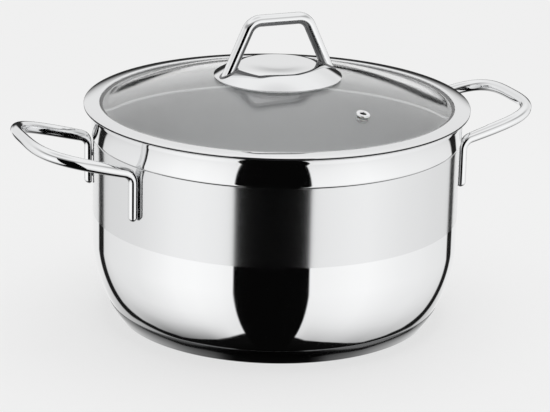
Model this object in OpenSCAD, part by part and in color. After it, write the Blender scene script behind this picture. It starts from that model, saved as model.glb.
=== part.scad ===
// Deep casserole pot: drawn steel shell with a bonded base, two bent-rod side handles,
// and a domed glass lid in a steel band with a vent and a bow handle on a dished plate.
// Frame: millimetres, +Z up, origin at the centre of the flat base, side handles on +X and -X.

/* [Pot shell] */
// Outer diameter of the straight wall
wall_d = 250; // [200:1:320]
// Height of the pot from the base to the top of its lip
pot_h = 147.5; // [120:0.5:200]
// Thickness of the drawn steel sheet
wall_t = 1.0; // [0.6:0.1:1.6]
// Radius of the rounded belly between the wall and the floor
belly_r = 88; // [70:1:95]
// Height at which the belly becomes the straight wall
belly_top = 54.5; // [48:0.5:60]
// Radius of the corner between the belly and the flat floor
knuckle_r = 12; // [8:0.5:16]

/* [Pot rim] */
// Depth of the rolled step line below the lip
step_drop = 21.3; // [14:0.1:26]
// How far the rim band stands out from the wall
rim_bulge = 0.9; // [0.4:0.1:1.4]
// How far the rim band flares outward below the lip
rim_flare = 2.9; // [2.2:0.1:4]
// How far the pouring lip stands out from the wall
lip_out = 6; // [4.5:0.5:9]

/* [Base] */
// Thickness of the aluminium heat spreader
spreader_t = 5.2; // [3:0.1:7]
// Thickness of the steel cap over the spreader
cap_t = 0.8; // [0.5:0.1:1.2]
// Rounding of the cap's lower edge, inside
cap_edge_r = 1.4; // [0.8:0.1:4]
// Height of the seam between the cap and the belly
cap_rise = 11.4; // [9:0.1:14]

/* [Side handles] */
// Diameter of the handle rod in the grip
grip_d = 8; // [6:0.5:10]
// Distance from the pot's axis to the tip of a handle
handle_reach = 183; // [174:1:200]
// Distance between the two legs of a handle
leg_pitch = 89.4; // [70:0.2:100]
// Width of a pressed leg along the wall
leg_w = 6.6; // [5:0.1:8]
// Depth of a pressed leg out from its flat face
leg_depth = 5.2; // [4:0.1:6]
// Drop from the lip to the foot of a leg
leg_drop = 57.5; // [50:0.5:62]
// Drop from the lip to where the arm line crosses the leg line
arm_drop = 24.7; // [20:0.1:28]
// Upward slope of the grip
arm_slope = 15; // [5:1:22]
// Bend radius between leg and arm
elbow_r = 8; // [5:0.5:11]
// Squareness of the loop along its reach
loop_end_power = 4.7; // [2.5:0.1:6]
// Squareness of the loop across its width
loop_side_power = 3.2; // [2:0.1:5]
// Diameter of a weld nugget under a leg
nugget_d = 4.4; // [3:0.1:5]
// Height of a weld nugget, the gap between wall and leg
nugget_t = 0.6; // [0.4:0.1:1]
// Distance of the outer nuggets from the foot and the elbow of a leg
nugget_inset = 5; // [3:0.5:7]

/* [Lid glass and band] */
// Thickness of the tempered glass
glass_t = 4; // [3:0.5:5]
// Rise of the dome above the glass flange
dome_rise = 20.8; // [16:0.2:30]
// Width of the flat glass flange held in the band
flange_w = 9; // [5:0.5:11]
// Thickness of the band sheet
band_t = 0.7; // [0.5:0.1:1]
// Width of the flat top of the band
band_w = 11; // [9:0.2:14]
// Radial clearance of the lid in the pot's mouth
lid_clear = 0.6; // [0.4:0.1:1.2]

/* [Steam vent] */
// Distance of the vent from the lid's axis
vent_radius = 84; // [60:1:100]
// Direction of the vent, anticlockwise from +X
vent_angle = -71; // [-90:1:90]
// Bore of the vent
vent_bore = 4; // [3:0.1:5]
// Diameter of the eyelet's flanges
vent_flange_d = 9.6; // [8.6:0.1:12]

/* [Lid handle] */
// Diameter of the dished plate under the bow
plate_d = 87; // [80:1:100]
// Thickness of the plate
plate_t = 1.2; // [0.8:0.1:1.6]
// Radius of the raised ring of the plate
plate_crest_r = 26; // [22:0.5:29]
// Height of the raised ring above the plate's middle
plate_dish = 4; // [2:0.1:5]
// Drop of the plate's edge below the raised ring
plate_drop = 7.6; // [7:0.1:8]
// Diameter of the bow rod
bow_d = 8; // [6:0.5:9]
// Height of the top of the bow above the pot's lip
bow_top = 62.8; // [56:0.2:76]
// Half the distance between the feet of the bow
bow_foot = 35.5; // [33:0.5:37]
// Half the distance between the upper corners of the bow
bow_corner = 20; // [17:0.5:24]
// Bend radius of the bow
bow_bend = 10; // [7:0.5:12]
// Thread diameter of the lid screw
screw_d = 5; // [4:0.5:6]

/* [Hidden] */
$fn = 96;

steel = [0.80, 0.81, 0.82];
satin_steel = [0.70, 0.71, 0.72];
aluminium = [0.62, 0.64, 0.66];
glass_grey = [0.55, 0.60, 0.60, 0.45];
silicone = [0.86, 0.86, 0.84];

// Running gap between pieces of one assembly that are pressed together.
seat_gap = 0.05;
wall_r = wall_d / 2;
lip_r = wall_r + lip_out;
floor_z = cap_t + spreader_t;
step_z = pot_h - step_drop;
leg_foot_z = pot_h - leg_drop;
arm_z = pot_h - arm_drop;

// ---- Points and paths -------------------------------------------------------

function mix(a, b, t) = a + (b - a) * t;
function smooth(t) = let (c = min(1, max(0, t))) c * c * (3 - 2 * c);
function unit(v) = v / norm(v);
function reverse(p) = [for (i = [len(p) - 1:-1:0]) p[i]];
function arc(c, r, a0, a1, n) =
    [for (i = [0:n]) let (a = mix(a0, a1, i / n)) c + r * [cos(a), sin(a)]];
function bezier(p0, p1, p2, n) =
    [for (i = [0:n]) let (t = i / n)
        (1 - t) * (1 - t) * p0 + 2 * t * (1 - t) * p1 + t * t * p2];

// Left-hand normal of the path at point i, long enough to keep the sheet's thickness.
function side_normal(p, i) =
    let (a = unit(p[max(i, 1)] - p[max(i, 1) - 1]),
         b = unit(p[min(i, len(p) - 2) + 1] - p[min(i, len(p) - 2)]),
         n = unit([-a[1] - b[1], a[0] + b[0]]))
    n / max(0.5, n * [-a[1], a[0]]);
function offset_path(p, d) =
    [for (i = [0:len(p) - 1]) let (q = p[i] + d * side_normal(p, i)) [max(0, q[0]), q[1]]];

// Where a rising path crosses a height, and the part of it below that height.
function cross_index(p, z) = [for (i = [0:len(p) - 2]) if (p[i][1] < z && p[i + 1][1] >= z) i][0];
function at_height(p, z) =
    let (i = cross_index(p, z)) mix(p[i], p[i + 1], (z - p[i][1]) / (p[i + 1][1] - p[i][1]));
function below(p, z) = [for (i = [0:cross_index(p, z)]) p[i]];

// A sheet of even thickness to the left of a path, turned about the Z axis.
module spun_sheet(path, t) {
    rotate_extrude() polygon(concat(path, reverse(offset_path(path, t))));
}

// Directions along a line of points, and a side direction carried along it without twist.
function tangents(p) = [for (i = [0:len(p) - 1])
    unit(p[min(i + 1, len(p) - 1)] - p[max(i - 1, 0)])];
function carried(t, first) =
    [for (i = 0, n = first; i < len(t);
        i = i + 1, n = i < len(t) ? unit(n - (n * t[i]) * t[i]) : n) n];

// One ring of points round a rod: round, but never deeper than back on its inner side.
rod_sides = 20;
function rod_ring(p, t, n, half, back) =
    [for (k = [0:rod_sides - 1]) let (a = 360 * k / rod_sides)
        p + half * sin(a) * cross(t, n) + max(-back, half * cos(a)) * n];

// A closed solid through a row of rings.
module skin(rings) {
    last = (len(rings) - 1) * rod_sides;
    polyhedron(points = [for (r = rings) each r], faces = concat(
        [for (i = [0:len(rings) - 2], k = [0:rod_sides - 1])
            let (a = i * rod_sides, m = (k + 1) % rod_sides)
            each [[a + k, a + rod_sides + k, a + m],
                [a + m, a + rod_sides + k, a + rod_sides + m]]],
        [[for (k = [0:rod_sides - 1]) k]],
        [[for (k = [rod_sides - 1:-1:0]) last + k]]));
}

// ---- Pot shell and base -----------------------------------------------------

belly_c = [wall_r - belly_r, belly_top];
knuckle_z = floor_z + knuckle_r;
knuckle_c = [belly_c[0] + sqrt(pow(belly_r - knuckle_r, 2) - pow(belly_top - knuckle_z, 2)),
    knuckle_z];
knuckle_a = atan2(knuckle_c[1] - belly_c[1], knuckle_c[0] - belly_c[0]);
belly_path = concat(
    arc(knuckle_c, knuckle_r, -90, knuckle_a, 8),
    [for (i = [1:14]) belly_c + belly_r * [cos(mix(knuckle_a, 0, i / 14)),
        sin(mix(knuckle_a, 0, i / 14))]]);
lip_z = pot_h - wall_t;
throat_r = wall_r + rim_flare;
rim_path = concat(
    [[wall_r, step_z - 0.9], [wall_r - 0.4, step_z]],
    bezier([wall_r + rim_bulge, step_z + 1.3], [wall_r + rim_bulge, step_z + 10],
        [throat_r, pot_h - 4.4], 6),
    bezier([throat_r + 0.15, pot_h - 3.6], [throat_r + 0.6, lip_z], [lip_r - 2, lip_z], 5),
    [[lip_r, lip_z]]);
pot_path = concat([[0, floor_z]], belly_path, rim_path);

module pot_body() {
    color(steel) spun_sheet(pot_path, wall_t);
}

// The cap's side leaves the belly along its tangent at the seam and rounds into the flat.
seam = at_height(belly_path, cap_rise) + [seat_gap, 0];
seam_i = cross_index(belly_path, cap_rise);
seam_dir = belly_path[seam_i + 1] - belly_path[seam_i];
seam_a = atan2(seam_dir[1], seam_dir[0]);
cap_corner = seam - seam_dir * (cap_rise - cap_t) / seam_dir[1];
cap_edge_c = [cap_corner[0] - cap_edge_r * tan(seam_a / 2), cap_t + cap_edge_r];
cap_inner = concat([[0, cap_t]], arc(cap_edge_c, cap_edge_r, -90, seam_a - 90, 6), [seam]);

module base_cap() {
    color(satin_steel) spun_sheet(cap_inner, -cap_t);
}

module heat_spreader() {
    color(aluminium) rotate_extrude()
        polygon(concat(cap_inner, reverse(below(belly_path, cap_rise)), [[0, floor_z]]));
}

// ---- Side handles -----------------------------------------------------------

leg_back = leg_depth - leg_w / 2;
leg_ring_r = wall_r + nugget_t + leg_back;
leg_half = leg_pitch / 2;
leg_u = sqrt(pow(leg_ring_r, 2) - pow(leg_half, 2));
leg_turn = asin(leg_half / leg_ring_r);
loop_len = handle_reach - grip_d / 2 - leg_u;
elbow_turn = 90 - arm_slope;
elbow_z = arm_z - elbow_r * tan(elbow_turn / 2);
arm_start = elbow_r * (1 - cos(elbow_turn));
side_end = 0.86;

// Half of the loop, as [distance out from the legs, distance from the middle].
function loop_v(a) = leg_half * pow(1 - pow(a / loop_len, loop_end_power), 1 / loop_side_power);
function loop_a(v) = loop_len * pow(1 - pow(v / leg_half, loop_side_power), 1 / loop_end_power);
loop_half = concat(
    [for (i = [1:9]) let (a = mix(arm_start, side_end * loop_len, i / 9)) [a, loop_v(a)]],
    [for (i = [1:9]) let (v = loop_v(side_end * loop_len) * (1 - i / 9)) [loop_a(v), v]]);

// Centre line of half a handle: rounded foot, leg, elbow, arm and half of the tip.
foot_round = leg_w / 2;
foot_steps = [0, 0.08, 0.28, 0.62, 1];
half_line = concat(
    [for (s = foot_steps) [leg_u, leg_half, leg_foot_z + s * foot_round]],
    [for (i = [0:6]) let (t = elbow_turn * i / 6)
        [leg_u + elbow_r * (1 - cos(t)), leg_half, elbow_z + elbow_r * sin(t)]],
    [for (p = loop_half) [leg_u + p[0], p[1], arm_z + p[0] * tan(arm_slope)]]);
handle_line = concat([for (p = half_line) [p[0], -p[1], p[2]]],
    reverse([for (i = [0:len(half_line) - 2]) half_line[i]]));

// Section at a height: flat-backed in the leg, round in the grip, closed in at the foot.
function grip_share(z) = smooth((z - elbow_z) / (1.5 * elbow_r));
function foot_scale(z) = let (q = min(1, max(0.08, (z - leg_foot_z) / foot_round)))
    sqrt(1 - (1 - q) * (1 - q));
function handle_ring(p, t, n) =
    let (g = grip_share(p[2]), s = foot_scale(p[2]),
         half = mix(leg_w / 2, grip_d / 2, g), back = mix(leg_back, grip_d / 2, g))
    rod_ring(p, t, n, s * half, back);

module side_handle() {
    t = tangents(handle_line);
    n = carried(t, [cos(leg_turn), -sin(leg_turn), 0]);
    skin([for (i = [0:len(handle_line) - 1]) handle_ring(handle_line[i], t[i], n[i])]);
}

// Two weld nuggets that fill the gap between the wall and the flat back of one leg.
module leg_welds(turn) {
    nugget_len = nugget_t + nugget_d / 2;
    for (z = [leg_foot_z + nugget_inset + nugget_d / 2, elbow_z - nugget_inset])
        difference() {
            rotate([0, 0, turn])
                translate([wall_r + nugget_t - seat_gap - nugget_len, 0, z])
                rotate([0, 90, 0]) cylinder(d = nugget_d, h = nugget_len);
            cylinder(r = wall_r, h = pot_h, $fn = 360);
        }
}

module left_handle() { color(steel) rotate([0, 0, 180]) side_handle(); }
module right_handle() { color(steel) side_handle(); }
module left_front_weld() { color(satin_steel) leg_welds(180 + leg_turn); }
module left_rear_weld() { color(satin_steel) leg_welds(180 - leg_turn); }
module right_front_weld() { color(satin_steel) leg_welds(-leg_turn); }
module right_rear_weld() { color(satin_steel) leg_welds(leg_turn); }

// ---- Lid glass and band -----------------------------------------------------

// Heights of the lid are measured up from the pot's lip.
web_out = throat_r - wall_t - lid_clear;
web_in = web_out - band_t;
glass_r = web_in - 0.2;
flange_top = 0.8;
flange_in = glass_r - flange_w;
channel_reach = 5;
dome_r = (pow(flange_in, 2) + pow(dome_rise, 2)) / (2 * dome_rise);
dome_c = flange_top + dome_rise - dome_r;
apex = flange_top + dome_rise;
dome_a = asin(flange_in / dome_r);
function dome_z(r) = dome_c + sqrt(dome_r * dome_r - r * r);
glass_path = concat(
    [for (i = [0:23]) let (a = dome_a * i / 23) [dome_r * sin(a), dome_c + dome_r * cos(a)]],
    [[glass_r, flange_top]]);
mount_hole_d = screw_d + 6;
vent_hole_d = vent_bore + 3;

module at_vent() {
    tilt = asin(vent_radius / dome_r);
    rotate([0, 0, vent_angle]) translate([vent_radius, 0, pot_h + dome_z(vent_radius)])
        rotate([0, tilt, 0]) children();
}

module lid_glass() {
    color(glass_grey) difference() {
        translate([0, 0, pot_h]) spun_sheet(glass_path, -glass_t);
        translate([0, 0, pot_h]) cylinder(d = mount_hole_d, h = apex + glass_t);
        at_vent() translate([0, 0, -2 * glass_t]) cylinder(d = vent_hole_d, h = 3 * glass_t);
    }
}

// Rolled band: flat top, round outer bead, rest on the lip, and a channel round the glass edge.
bead_r = 0.95;
bead_c = [lip_r + 0.1 - bead_r, bead_r];
band_top = 2 * bead_r;
band_in = lip_r + 0.1 - band_w;
channel_in = glass_r - min(channel_reach, flange_w - 1);
module lid_band() {
    under = flange_top - glass_t;
    color(steel) translate([0, 0, pot_h]) rotate_extrude() polygon(concat(
        [[band_in, flange_top], [band_in, flange_top + band_t], [band_in + 1.6, band_top]],
        reverse(arc(bead_c, bead_r, -90, 90, 12)),
        [[web_out, 0], [web_out, under - band_t], [channel_in, under - band_t],
            [channel_in, under], [web_in, under], [web_in, flange_top]]));
}

// ---- Steam vent -------------------------------------------------------------

vent_flange_t = 1;
vent_gasket_t = 0.6;
module vent_ring(d, hole, t, z) {
    at_vent() translate([0, 0, z]) difference() {
        cylinder(d = d, h = t);
        translate([0, 0, -t]) cylinder(d = hole, h = 3 * t);
    }
}

module vent_eyelet() {
    tube_d = vent_bore + 1.4;
    top = vent_gasket_t + seat_gap;
    foot = -glass_t - 2 * seat_gap - vent_gasket_t;
    color(steel) at_vent() rotate_extrude() polygon(concat(
        [[vent_bore / 2, foot - vent_flange_t], [vent_bore / 2, top + vent_flange_t]],
        reverse(arc([vent_flange_d / 2 - vent_flange_t, top], vent_flange_t, 0, 90, 5)),
        [[tube_d / 2, top], [tube_d / 2, foot], [vent_flange_d / 2 - 0.6, foot],
            [vent_flange_d / 2 - 0.6, foot - vent_flange_t]]));
}

module vent_gasket() {
    color(silicone) vent_ring(vent_flange_d - 0.4, vent_bore + 1.4 + 2 * seat_gap,
        vent_gasket_t, seat_gap);
}

module vent_washer() {
    color(silicone) vent_ring(vent_flange_d - 1, vent_bore + 1.4 + 2 * seat_gap,
        vent_gasket_t, -glass_t - seat_gap - vent_gasket_t);
}

// ---- Lid handle -------------------------------------------------------------

gasket_t = 1.2;
plate_low = apex + gasket_t;
plate_mid = plate_low + plate_t;
plate_flat_r = 12;
plate_r = plate_d / 2;
// Height of the plate's upper face at a radius: flat middle, raised ring, falling skirt.
function plate_z(r) = r < plate_crest_r
    ? plate_mid + plate_dish * smooth((r - plate_flat_r) / (plate_crest_r - plate_flat_r))
    : plate_mid + plate_dish
        - plate_drop * pow((r - plate_crest_r) / (plate_r - plate_crest_r), 1.4);
plate_path = concat([[0, plate_mid]],
    [for (i = [0:26]) let (r = mix(plate_flat_r, plate_r, i / 26)) [r, plate_z(r)]]);

module handle_plate() {
    color(steel) translate([0, 0, pot_h]) spun_sheet(plate_path, -plate_t);
}

// Everything below the plate's upper face, which trims the feet of the bow to the plate.
module under_plate() {
    translate([0, 0, pot_h]) rotate_extrude()
        polygon(concat(plate_path, [[plate_r, -bow_d], [0, -bow_d]]));
}

bow_z = bow_top - bow_d / 2;
bow_foot_z = plate_z(bow_foot);
bow_lean = atan2(bow_foot - bow_corner, bow_z - bow_foot_z);
bow_turn = 90 - bow_lean;
bow_cut = bow_bend * tan(bow_turn / 2);
foot_extra = bow_d;
bow_dir = [sin(bow_lean), 0, -cos(bow_lean)];
bow_half = concat(
    [[bow_foot, 0, bow_foot_z] + foot_extra * bow_dir],
    [for (i = [0:8]) let (t = mix(bow_lean, 90, i / 8))
        [bow_corner - bow_cut, 0, bow_z - bow_bend] + bow_bend * [cos(t), 0, sin(t)]]);
bow_line = concat(bow_half, reverse([for (p = bow_half) [-p[0], 0, p[2]]]));

module lid_handle() {
    t = tangents(bow_line);
    color(steel) difference() {
        translate([0, 0, pot_h])
            skin([for (i = [0:len(bow_line) - 1])
                rod_ring(bow_line[i], t[i], [0, 1, 0], bow_d / 2, bow_d / 2)]);
        under_plate();
    }
}

// Places children at one foot of the bow, with Z along the leg. side is 1 or -1.
module at_bow_foot(side) {
    translate([side * bow_foot, 0, pot_h + bow_foot_z]) rotate([0, -side * bow_lean, 0])
        children();
}

// Narrow weld bead round one foot of the bow.
module bow_weld(side) {
    bead_w = 1.2;
    bead_h = 3;
    color(satin_steel) difference() {
        at_bow_foot(side) translate([0, 0, -bead_h])
            cylinder(d1 = bow_d + 2 * bead_w, d2 = bow_d, h = 2 * bead_h + bead_w);
        at_bow_foot(side) translate([0, 0, -foot_extra]) cylinder(d = bow_d, h = 3 * foot_extra);
        under_plate();
    }
}

module bow_weld_left() { bow_weld(-1); }
module bow_weld_right() { bow_weld(1); }

// ---- Fixing of the lid handle -----------------------------------------------

bush_d = screw_d + 3;
bush_len = glass_t + gasket_t - 0.4;
glass_under = apex - glass_t;
lower_gasket_t = 1.5;
washer_t = 1;
fix_d = 24;

// A flat ring on the lid's axis, with its lower face at a height above the lip.
module axis_ring(d, hole, t, z) {
    translate([0, 0, pot_h + z]) difference() {
        cylinder(d = d, h = t);
        translate([0, 0, -t]) cylinder(d = hole, h = 3 * t);
    }
}

module threaded_bush() {
    color(satin_steel)
        axis_ring(bush_d, screw_d + 2 * seat_gap, bush_len, plate_low - bush_len);
}

module upper_gasket() {
    sleeve = glass_t - 1;
    color(silicone) {
        axis_ring(fix_d, bush_d + 2 * seat_gap, gasket_t - seat_gap, apex);
        axis_ring(mount_hole_d - 0.2, bush_d + 2 * seat_gap, sleeve, apex - sleeve);
    }
}

module lower_gasket() {
    color(silicone)
        axis_ring(fix_d, mount_hole_d, lower_gasket_t, glass_under - 0.25 - lower_gasket_t);
}

washer_low = glass_under - 0.25 - lower_gasket_t - washer_t;
module screw_washer() {
    color(steel) axis_ring(fix_d - 3, screw_d + 0.5, washer_t, washer_low);
}

module lid_screw() {
    head_d = 2 * screw_d;
    head_h = 0.6 * screw_d;
    shank = plate_low - 1 - washer_low;
    color(satin_steel) translate([0, 0, pot_h + washer_low]) difference() {
        union() {
            cylinder(d = screw_d, h = shank);
            translate([0, 0, -head_h]) cylinder(d = head_d, h = head_h);
        }
        for (turn = [0, 90]) rotate([0, 0, turn]) translate([-head_d / 3, -0.5, -1.5 * head_h])
            cube([2 * head_d / 3, 1, head_h]);
    }
}

pot_body();
heat_spreader();
base_cap();
left_handle();
left_front_weld();
left_rear_weld();
right_handle();
right_front_weld();
right_rear_weld();
lid_glass();
lid_band();
vent_eyelet();
vent_gasket();
vent_washer();
handle_plate();
lid_handle();
bow_weld_left();
bow_weld_right();
threaded_bush();
upper_gasket();
lower_gasket();
screw_washer();
lid_screw();
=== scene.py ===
"""Dressed model of a lidded casserole pot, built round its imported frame.

The pot's shell, handles and lid are turned and swept from the same sizes as the solids,
with the smooth surfaces that polished steel and glass need. Lengths are in millimetres in
the classes and become metres when a mesh is made.
"""

import logging
import math
from collections.abc import Callable, Sequence
from dataclasses import dataclass, field
from enum import Enum

import bmesh
import bpy
from mathutils import Matrix, Vector


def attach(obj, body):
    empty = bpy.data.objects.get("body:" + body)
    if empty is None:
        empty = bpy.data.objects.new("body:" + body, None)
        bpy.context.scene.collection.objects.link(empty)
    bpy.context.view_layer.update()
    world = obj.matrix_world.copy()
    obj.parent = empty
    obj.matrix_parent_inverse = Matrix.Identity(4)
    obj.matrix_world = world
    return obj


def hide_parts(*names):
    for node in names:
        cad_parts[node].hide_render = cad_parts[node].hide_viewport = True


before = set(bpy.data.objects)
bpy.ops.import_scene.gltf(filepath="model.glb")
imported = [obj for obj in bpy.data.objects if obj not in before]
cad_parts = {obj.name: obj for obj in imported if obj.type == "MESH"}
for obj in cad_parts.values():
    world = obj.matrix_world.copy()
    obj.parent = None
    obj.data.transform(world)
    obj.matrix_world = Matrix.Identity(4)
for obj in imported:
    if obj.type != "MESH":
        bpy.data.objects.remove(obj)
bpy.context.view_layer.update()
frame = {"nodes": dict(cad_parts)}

LOG = logging.getLogger("casserole")
MM = 0.001
SHARP_ANGLE = math.radians(32)
ON_AXIS = 1e-6
# Steps round the axis of a turned piece.
LARGE, MEDIUM, SMALL = 256, 192, 96

Point = tuple[float, float]
Path = Sequence[Point]
Triple = tuple[float, float, float]
Object = bpy.types.Object
Mesh = bpy.types.Mesh
Material = bpy.types.Material
Node = bpy.types.Node
Socket = bpy.types.NodeSocket
Value = Socket | float


class Body(str, Enum):
    """The two bodies that pieces ride on."""

    POT = "pot"
    LID = "lid"


class Slot(str, Enum):
    """Names of the record's material slots, passed with dressed pieces."""

    POLISHED = "polished_steel"
    PLAIN = "plain_steel"
    GLASS = "glass"
    SILICONE = "silicone"


# ---- Paths in the (radius, height) plane ------------------------------------


def mix(a: float, b: float, t: float) -> float:
    """Value a fraction t of the way from a to b."""
    return a + (b - a) * t


def spaced(a: float, b: float, steps: int) -> list[float]:
    """Even run of values from a to b, both included."""
    return [mix(a, b, i / steps) for i in range(steps + 1)]


def turns(count: int) -> list[float]:
    """Angles in radians of even steps round a circle."""
    return [2 * math.pi * k / count for k in range(count)]


def smooth(t: float) -> float:
    """Ease from 0 to 1 with flat ends."""
    c = min(1.0, max(0.0, t))
    return c * c * (3 - 2 * c)


def arc(centre: Point, radius: float, start: float, end: float, steps: int) -> list[Point]:
    """Points along an arc.

    Args:
        centre: Centre of the arc.
        radius: Radius of the arc.
        start: First angle in degrees.
        end: Last angle in degrees.
        steps: Number of chords.

    Returns:
        The points from start to end.
    """
    angles = [math.radians(a) for a in spaced(start, end, steps)]
    return [(centre[0] + radius * math.cos(a), centre[1] + radius * math.sin(a)) for a in angles]


def bezier(p0: Point, p1: Point, p2: Point, steps: int) -> list[Point]:
    """Points along a quadratic curve from p0 to p2 that is pulled towards p1.

    Args:
        p0: First point.
        p1: Point that pulls the curve.
        p2: Last point.
        steps: Number of chords.

    Returns:
        The points from p0 to p2.
    """
    points = []
    for t in spaced(0, 1, steps):
        w = ((1 - t) ** 2, 2 * t * (1 - t), t * t)
        points.append((w[0] * p0[0] + w[1] * p1[0] + w[2] * p2[0],
                       w[0] * p0[1] + w[1] * p1[1] + w[2] * p2[1]))
    return points


def offset_path(path: Path, distance: float) -> list[Point]:
    """Path moved to its left by a distance, as a sheet's other face.

    Args:
        path: Open run of points.
        distance: Distance to the left, or to the right below 0.

    Returns:
        The moved points, none of them past the axis.
    """
    moved = []
    for i, (x, y) in enumerate(path):
        a = Vector(path[max(i, 1)]) - Vector(path[max(i, 1) - 1])
        j = min(i, len(path) - 2)
        b = Vector(path[j + 1]) - Vector(path[j])
        a.normalize()
        b.normalize()
        normal = Vector((-a.y - b.y, a.x + b.x)).normalized()
        stretch = max(0.5, normal.dot(Vector((-a.y, a.x))))
        moved.append((max(0.0, x + distance * normal.x / stretch),
                      y + distance * normal.y / stretch))
    return moved


def eased(back: Point, corner: Point, ahead: Point, cut: float, steps: int) -> list[Point]:
    """Curve round a corner, that starts and ends at most a cut away from it.

    Args:
        back: Point before the corner.
        corner: The corner.
        ahead: Point after the corner.
        cut: Length that the curve takes from either side, where there is room.
        steps: Number of chords.

    Returns:
        The curve's points.
    """
    here = Vector(corner)
    sides = [Vector(back) - here, Vector(ahead) - here]
    cut = min(cut, *(0.45 * side.length for side in sides))
    start, end = (tuple(here + side.normalized() * cut) for side in sides)
    return bezier(start, corner, end, steps)


def rounded(profile: Path, radius: float, steps: int = 4) -> list[Point]:
    """Closed profile with its sharp corners rounded, those on the axis excepted.

    Args:
        profile: Corners of the profile.
        radius: Largest rounding radius.
        steps: Number of chords in each rounded corner.

    Returns:
        The profile's points with an eased curve at each sharp corner.
    """
    result: list[Point] = []
    for i, corner in enumerate(profile):
        back, ahead = profile[i - 1], profile[(i + 1) % len(profile)]
        here = Vector(corner)
        turn = math.pi - (Vector(back) - here).angle(Vector(ahead) - here, 0.0)
        if corner[0] < ON_AXIS or turn < SHARP_ANGLE:
            result.append(corner)
        else:
            result += eased(back, corner, ahead, radius * math.tan(turn / 2), steps)
    return result


def rounded_run(points: Path, radius: float = 0.25) -> list[Point]:
    """Open run of points with its inner corners rounded.

    Args:
        points: Corners of the run.
        radius: Length that a curve takes from either side of its corner.

    Returns:
        The run's points with a curve at each inner corner.
    """
    result = [points[0]]
    for corner in zip(points, points[1:], points[2:]):
        result += eased(*corner, radius, 3)
    return result + [points[-1]]


def sheet(path: Path, thickness: float) -> list[Point]:
    """Closed profile of a sheet of even thickness to the left of a path."""
    return list(path) + offset_path(path, thickness)[::-1]


def ring_profile(inner: float, outer: float, low: float, high: float) -> list[Point]:
    """Closed rectangular profile of a flat ring."""
    return [(inner, low), (outer, low), (outer, high), (inner, high)]


def middle(profile: Path, i: int) -> Point:
    """Middle of a closed profile's edge i."""
    j = (i + 1) % len(profile)
    return ((profile[i][0] + profile[j][0]) / 2, (profile[i][1] + profile[j][1]) / 2)


def along(start: Point, end: Point, distance: float) -> Point:
    """Point at a distance from the start of a segment."""
    share = distance / math.dist(start, end)
    return (mix(start[0], end[0], share), mix(start[1], end[1], share))


# ---- Meshes -----------------------------------------------------------------


def polar(radius: float, angle: float, height: float) -> Vector:
    """Point at a radius, an angle in radians and a height."""
    return Vector((radius * math.cos(angle), radius * math.sin(angle), height))


def drawn(name: str, work: bmesh.types.BMesh) -> Mesh:
    """Turn a work mesh into a plain mesh and free it.

    Args:
        name: Name of the new mesh.
        work: The work mesh, in metres.

    Returns:
        The plain mesh.
    """
    mesh = bpy.data.meshes.new(name)
    work.to_mesh(mesh)
    work.free()
    return mesh


def finish_mesh(name: str, mesh: Mesh, materials: Sequence[Material]) -> Object:
    """Link a mesh as a smooth-shaded object with outward faces.

    Args:
        name: Name of the new object.
        mesh: Mesh with its place in its points, in metres.
        materials: Material slots in order.

    Returns:
        The new object at the origin.
    """
    work = bmesh.new()
    work.from_mesh(mesh)
    bmesh.ops.remove_doubles(work, verts=work.verts, dist=1e-7)
    bmesh.ops.recalc_face_normals(work, faces=work.faces)
    for face in work.faces:
        face.smooth = True
    work.to_mesh(mesh)
    work.free()
    mesh.name = name
    mesh.set_sharp_from_angle(angle=SHARP_ANGLE)
    mesh.materials.clear()
    for material in materials:
        mesh.materials.append(material)
    piece = bpy.data.objects.new(name, mesh)
    bpy.context.scene.collection.objects.link(piece)
    return piece


def applied(piece: Object, modifier: bpy.types.Modifier) -> Mesh:
    """Plain mesh of a piece with its modifier's result, and take the modifier off.

    Args:
        piece: The piece.
        modifier: Its only modifier.

    Returns:
        The new mesh, in metres.
    """
    graph = bpy.context.evaluated_depsgraph_get()
    mesh = bpy.data.meshes.new_from_object(piece.evaluated_get(graph))
    piece.modifiers.remove(modifier)
    return mesh


def lathe(name: str, profile: Path, materials: Sequence[Material],
          segments: int = LARGE, place: Matrix | None = None,
          material_of: Callable[[Point], int] | None = None) -> Object:
    """Turn a closed profile about the Z axis.

    Args:
        name: Name of the new object.
        profile: Closed outline as (radius, height) in millimetres.
        materials: Material slots in order.
        segments: Number of steps round the axis.
        place: Matrix in millimetres that puts the turned form in its place.
        material_of: Slot of a face from the (radius, height) of its middle.

    Returns:
        The new object.
    """
    place = place or Matrix.Identity(4)
    work = bmesh.new()
    rings = []
    for radius, height in profile:
        if radius < ON_AXIS:
            pole = work.verts.new(place @ Vector((0, 0, height)) * MM)
            rings.append([pole] * segments)
            continue
        rings.append([work.verts.new(place @ polar(radius, turn, height) * MM)
                      for turn in turns(segments)])
    for i, ring in enumerate(rings):
        following = rings[(i + 1) % len(rings)]
        slot = material_of(middle(profile, i)) if material_of else 0
        for k in range(segments):
            m = (k + 1) % segments
            corners = list(dict.fromkeys((ring[k], ring[m], following[m], following[k])))
            if len(corners) > 2:
                work.faces.new(corners).material_index = slot
    mesh = drawn(name, work)
    indices = [polygon.material_index for polygon in mesh.polygons]
    piece = finish_mesh(name, mesh, materials)
    if len(indices) == len(piece.data.polygons):
        piece.data.polygons.foreach_set("material_index", indices)
    return piece


def skin(name: str, rings: Sequence[Sequence[Vector]], material: Material) -> Object:
    """Closed smooth solid through a row of rings of points in millimetres.

    Args:
        name: Name of the new object.
        rings: Rings with the same number of points, in order.
        material: The piece's material.

    Returns:
        The new object.
    """
    work = bmesh.new()
    rows = [[work.verts.new(p * MM) for p in ring] for ring in rings]
    sides = len(rows[0])
    for row, following in zip(rows, rows[1:]):
        for k in range(sides):
            m = (k + 1) % sides
            work.faces.new((row[k], row[m], following[m], following[k]))
    work.faces.new(rows[0])
    work.faces.new(rows[-1])
    return finish_mesh(name, drawn(name, work), [material])


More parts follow.
